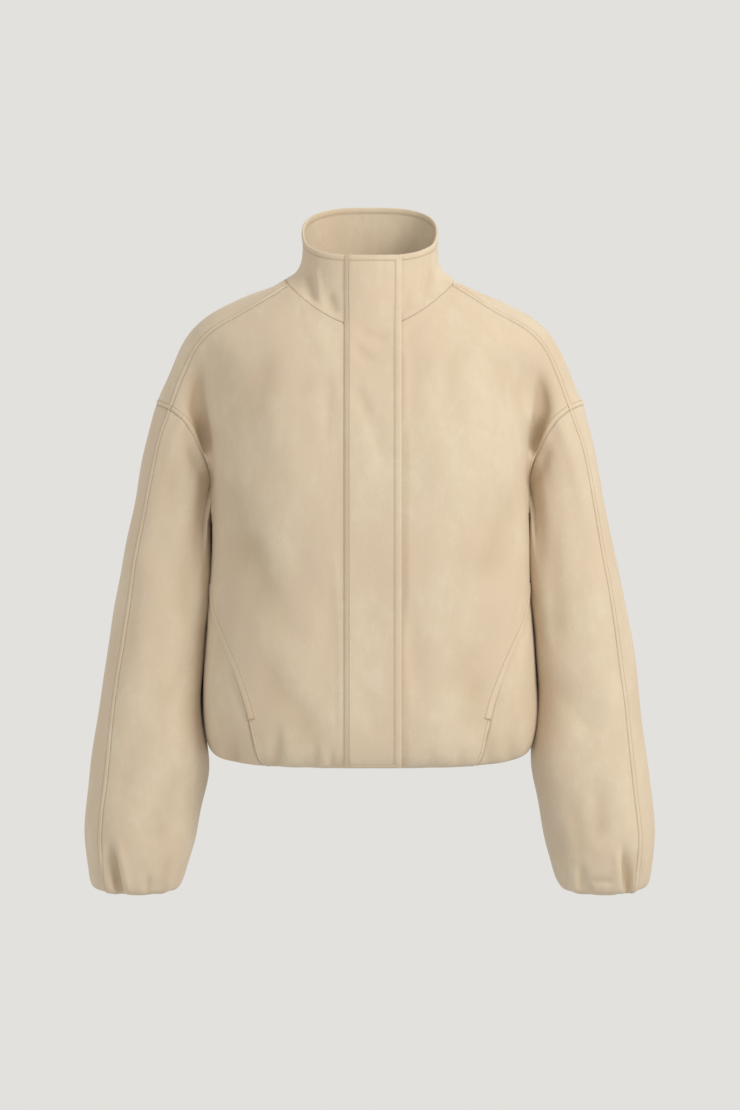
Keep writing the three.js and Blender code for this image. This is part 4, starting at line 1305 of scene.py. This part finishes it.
for side in SIDES:
    front = f"front_{side}"
    panel = f"side_{side}"
    sleeve = (f"sleeve_{side}_front", f"sleeve_{side}_back")
    topstitch(f"shoulder_{side}", "back", seam("back", front)[0], TOPSTITCHED)
    for node in (front, panel, "back"):
        for i, path in enumerate(seam(node, *sleeve)):
            topstitch(f"armhole_{node}_{side}_{i}", node, path, TOPSTITCHED)
    topstitch(f"sleeve_seam_{side}", sleeve[1], seam(sleeve[1], sleeve[0])[0], TOPSTITCHED)
    front_seam = seam(front, panel)[0]
    pocket = between(front_seam, POCKET_END, POCKET_TOP)
    topstitch(f"pocket_{side}", front, pocket, POCKET_WELT)
    below = between(front_seam, BELOW_HEM, POCKET_END)
    topstitch(f"side_seam_{side}", front, below, widened(TOPSTITCHED, 4.5))
    topstitch(f"back_seam_{side}", "back", seam("back", panel)[0], TOPSTITCHED)
    for name, place in (("upper", 0), ("lower", -1)):
        additions.append(bar_tack(f"tack_{name}_{side}", front, pocket, place))
print("bands, bar tacks and stitch rows:", len(additions))

# %% Bands on the collar and the flap
NECK_REACH = 6
CLOSING = 1.4
neck = np.concatenate([fine_edge(node)[0] for node in BODY])


def on_rim(points):
    """True along the collar's upper edge, between its two front ends."""
    away = edge_distance(points, neck) > NECK_REACH
    return away & ((np.abs(points[:, 0]) > CLOSING) | (points[:, 1] > 0))


topstitch("collar_rim", "collar", stretches("collar", on_rim)[0], ROLLED)
low = read_points(cloth["placket"].data).min(axis=0)
high = read_points(cloth["placket"].data).max(axis=0)
FLAP_SIDES = {
    "sewn": (0, low[0], 1.2, widened(TOPSTITCHED, 6.2)),
    "free": (0, high[0], 1.2, widened(ROLLED, 6.6)),
    "top": (2, high[2], 2.6, widened(ROLLED, 5.6)),
    "bottom": (2, low[2], 2.6, widened(ROLLED, 4.6)),
}
for name, (axis, place, reach, outline) in FLAP_SIDES.items():
    paths = stretches("placket", lambda points: np.abs(points[:, axis] - place) < reach)
    topstitch(f"flap_{name}", "placket", paths[0], outline)
print("bands, bar tacks and stitch rows:", len(additions))

# %% [markdown]
# ## The zip behind the flap
# The closing strip is a woven tape with two rows of teeth. The flap hides almost all of it, but it
# shows from inside and from below. One tooth is repeated along the middle of the tape, and a second
# row of them is set half a step lower, so that the rows lock into each other as on a closed zip.

# %% Zip
TOOTH_PITCH = 2.6
TOOTH_SIZE = (1.3, 2.2, 1.5)
TOOTH_ASIDE = 0.9
TOOTH_LIFT = 0.5
FIRST_TOOTH = 6
LAST_TOOTH = 2

tape = rounded("zip_tape", one_side("zip", THIN_WALL), 1, TAPE)
tape_surface = surface_of(tape)
tape_points = read_points(tape.data)
tape_points = tape_points[np.argsort(tape_points[:, 2])]
tape_z = tape_points[:, 2]
tape_y = tape_points[:, 1]


def teeth_row(name, aside, start):
    """One row of teeth along the tape, from its top down."""
    shape = bmesh.new()
    for z in np.arange(tape_z.max() - start, tape_z.min() + LAST_TOOTH, -TOOTH_PITCH):
        spot = np.array((aside, np.interp(z, tape_z, tape_y), z))
        place, normal, _, _ = nearest(tape_surface, spot)
        made = bmesh.ops.create_cube(shape, size=MM)["verts"]
        bmesh.ops.scale(shape, vec=TOOTH_SIZE, verts=made)
        bmesh.ops.translate(shape, vec=place + normal * TOOTH_LIFT * MM, verts=made)
    return new_piece(name, shape, TEETH)


teeth = [
    teeth_row("teeth_right", -TOOTH_ASIDE, FIRST_TOOTH),
    teeth_row("teeth_left", TOOTH_ASIDE, FIRST_TOOTH + TOOTH_PITCH / 2),
]
print("zip:", tape.name, [piece.name for piece in teeth])

# %% [markdown]
# ## Thickness and bodies
# Solidify gives every sheet its thickness on the inner side, 2 mm for suede and 1.5 mm for pocket
# cloth and tape. Then each piece is hung on a body, and the CAD piece that it stands for is hidden.

# %% Finish the cloth pieces
def finish_sheets(sheets_by_node, thickness):
    """Makes sheets thick and puts each in the place of its CAD piece."""
    for node, piece in sheets_by_node.items():
        wall = piece.modifiers.new("thickness", "SOLIDIFY")
        wall.thickness = thickness
        wall.offset = -1
        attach(piece, "root")
        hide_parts(node)


finish_sheets(cloth, WALL)
finish_sheets(casings, WALL)
finish_sheets(bags, THIN_WALL)
finish_sheets({"zip": tape}, THIN_WALL)
for piece in teeth:
    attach(piece, "root")
for piece in additions:
    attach(piece, "root")
print("dressed:", len(cloth) + len(casings) + len(bags), "with additions:", len(additions))

# %% [markdown]
# ## The cut of every sheet
# A tailor would like to know how big each piece was cut: its width, length and area in metres. The
# areas are those of the sheets here. The widths and lengths come from slices through them, but the
# length of a sleeve and the height of the collar's curved pattern are estimates. Seam allowances
# aren't counted, and the casings are as gathered.

# %% Sizes of the cuts
Cut = namedtuple("Cut", "width length area held rests_on", defaults=("hung", ("back",)))
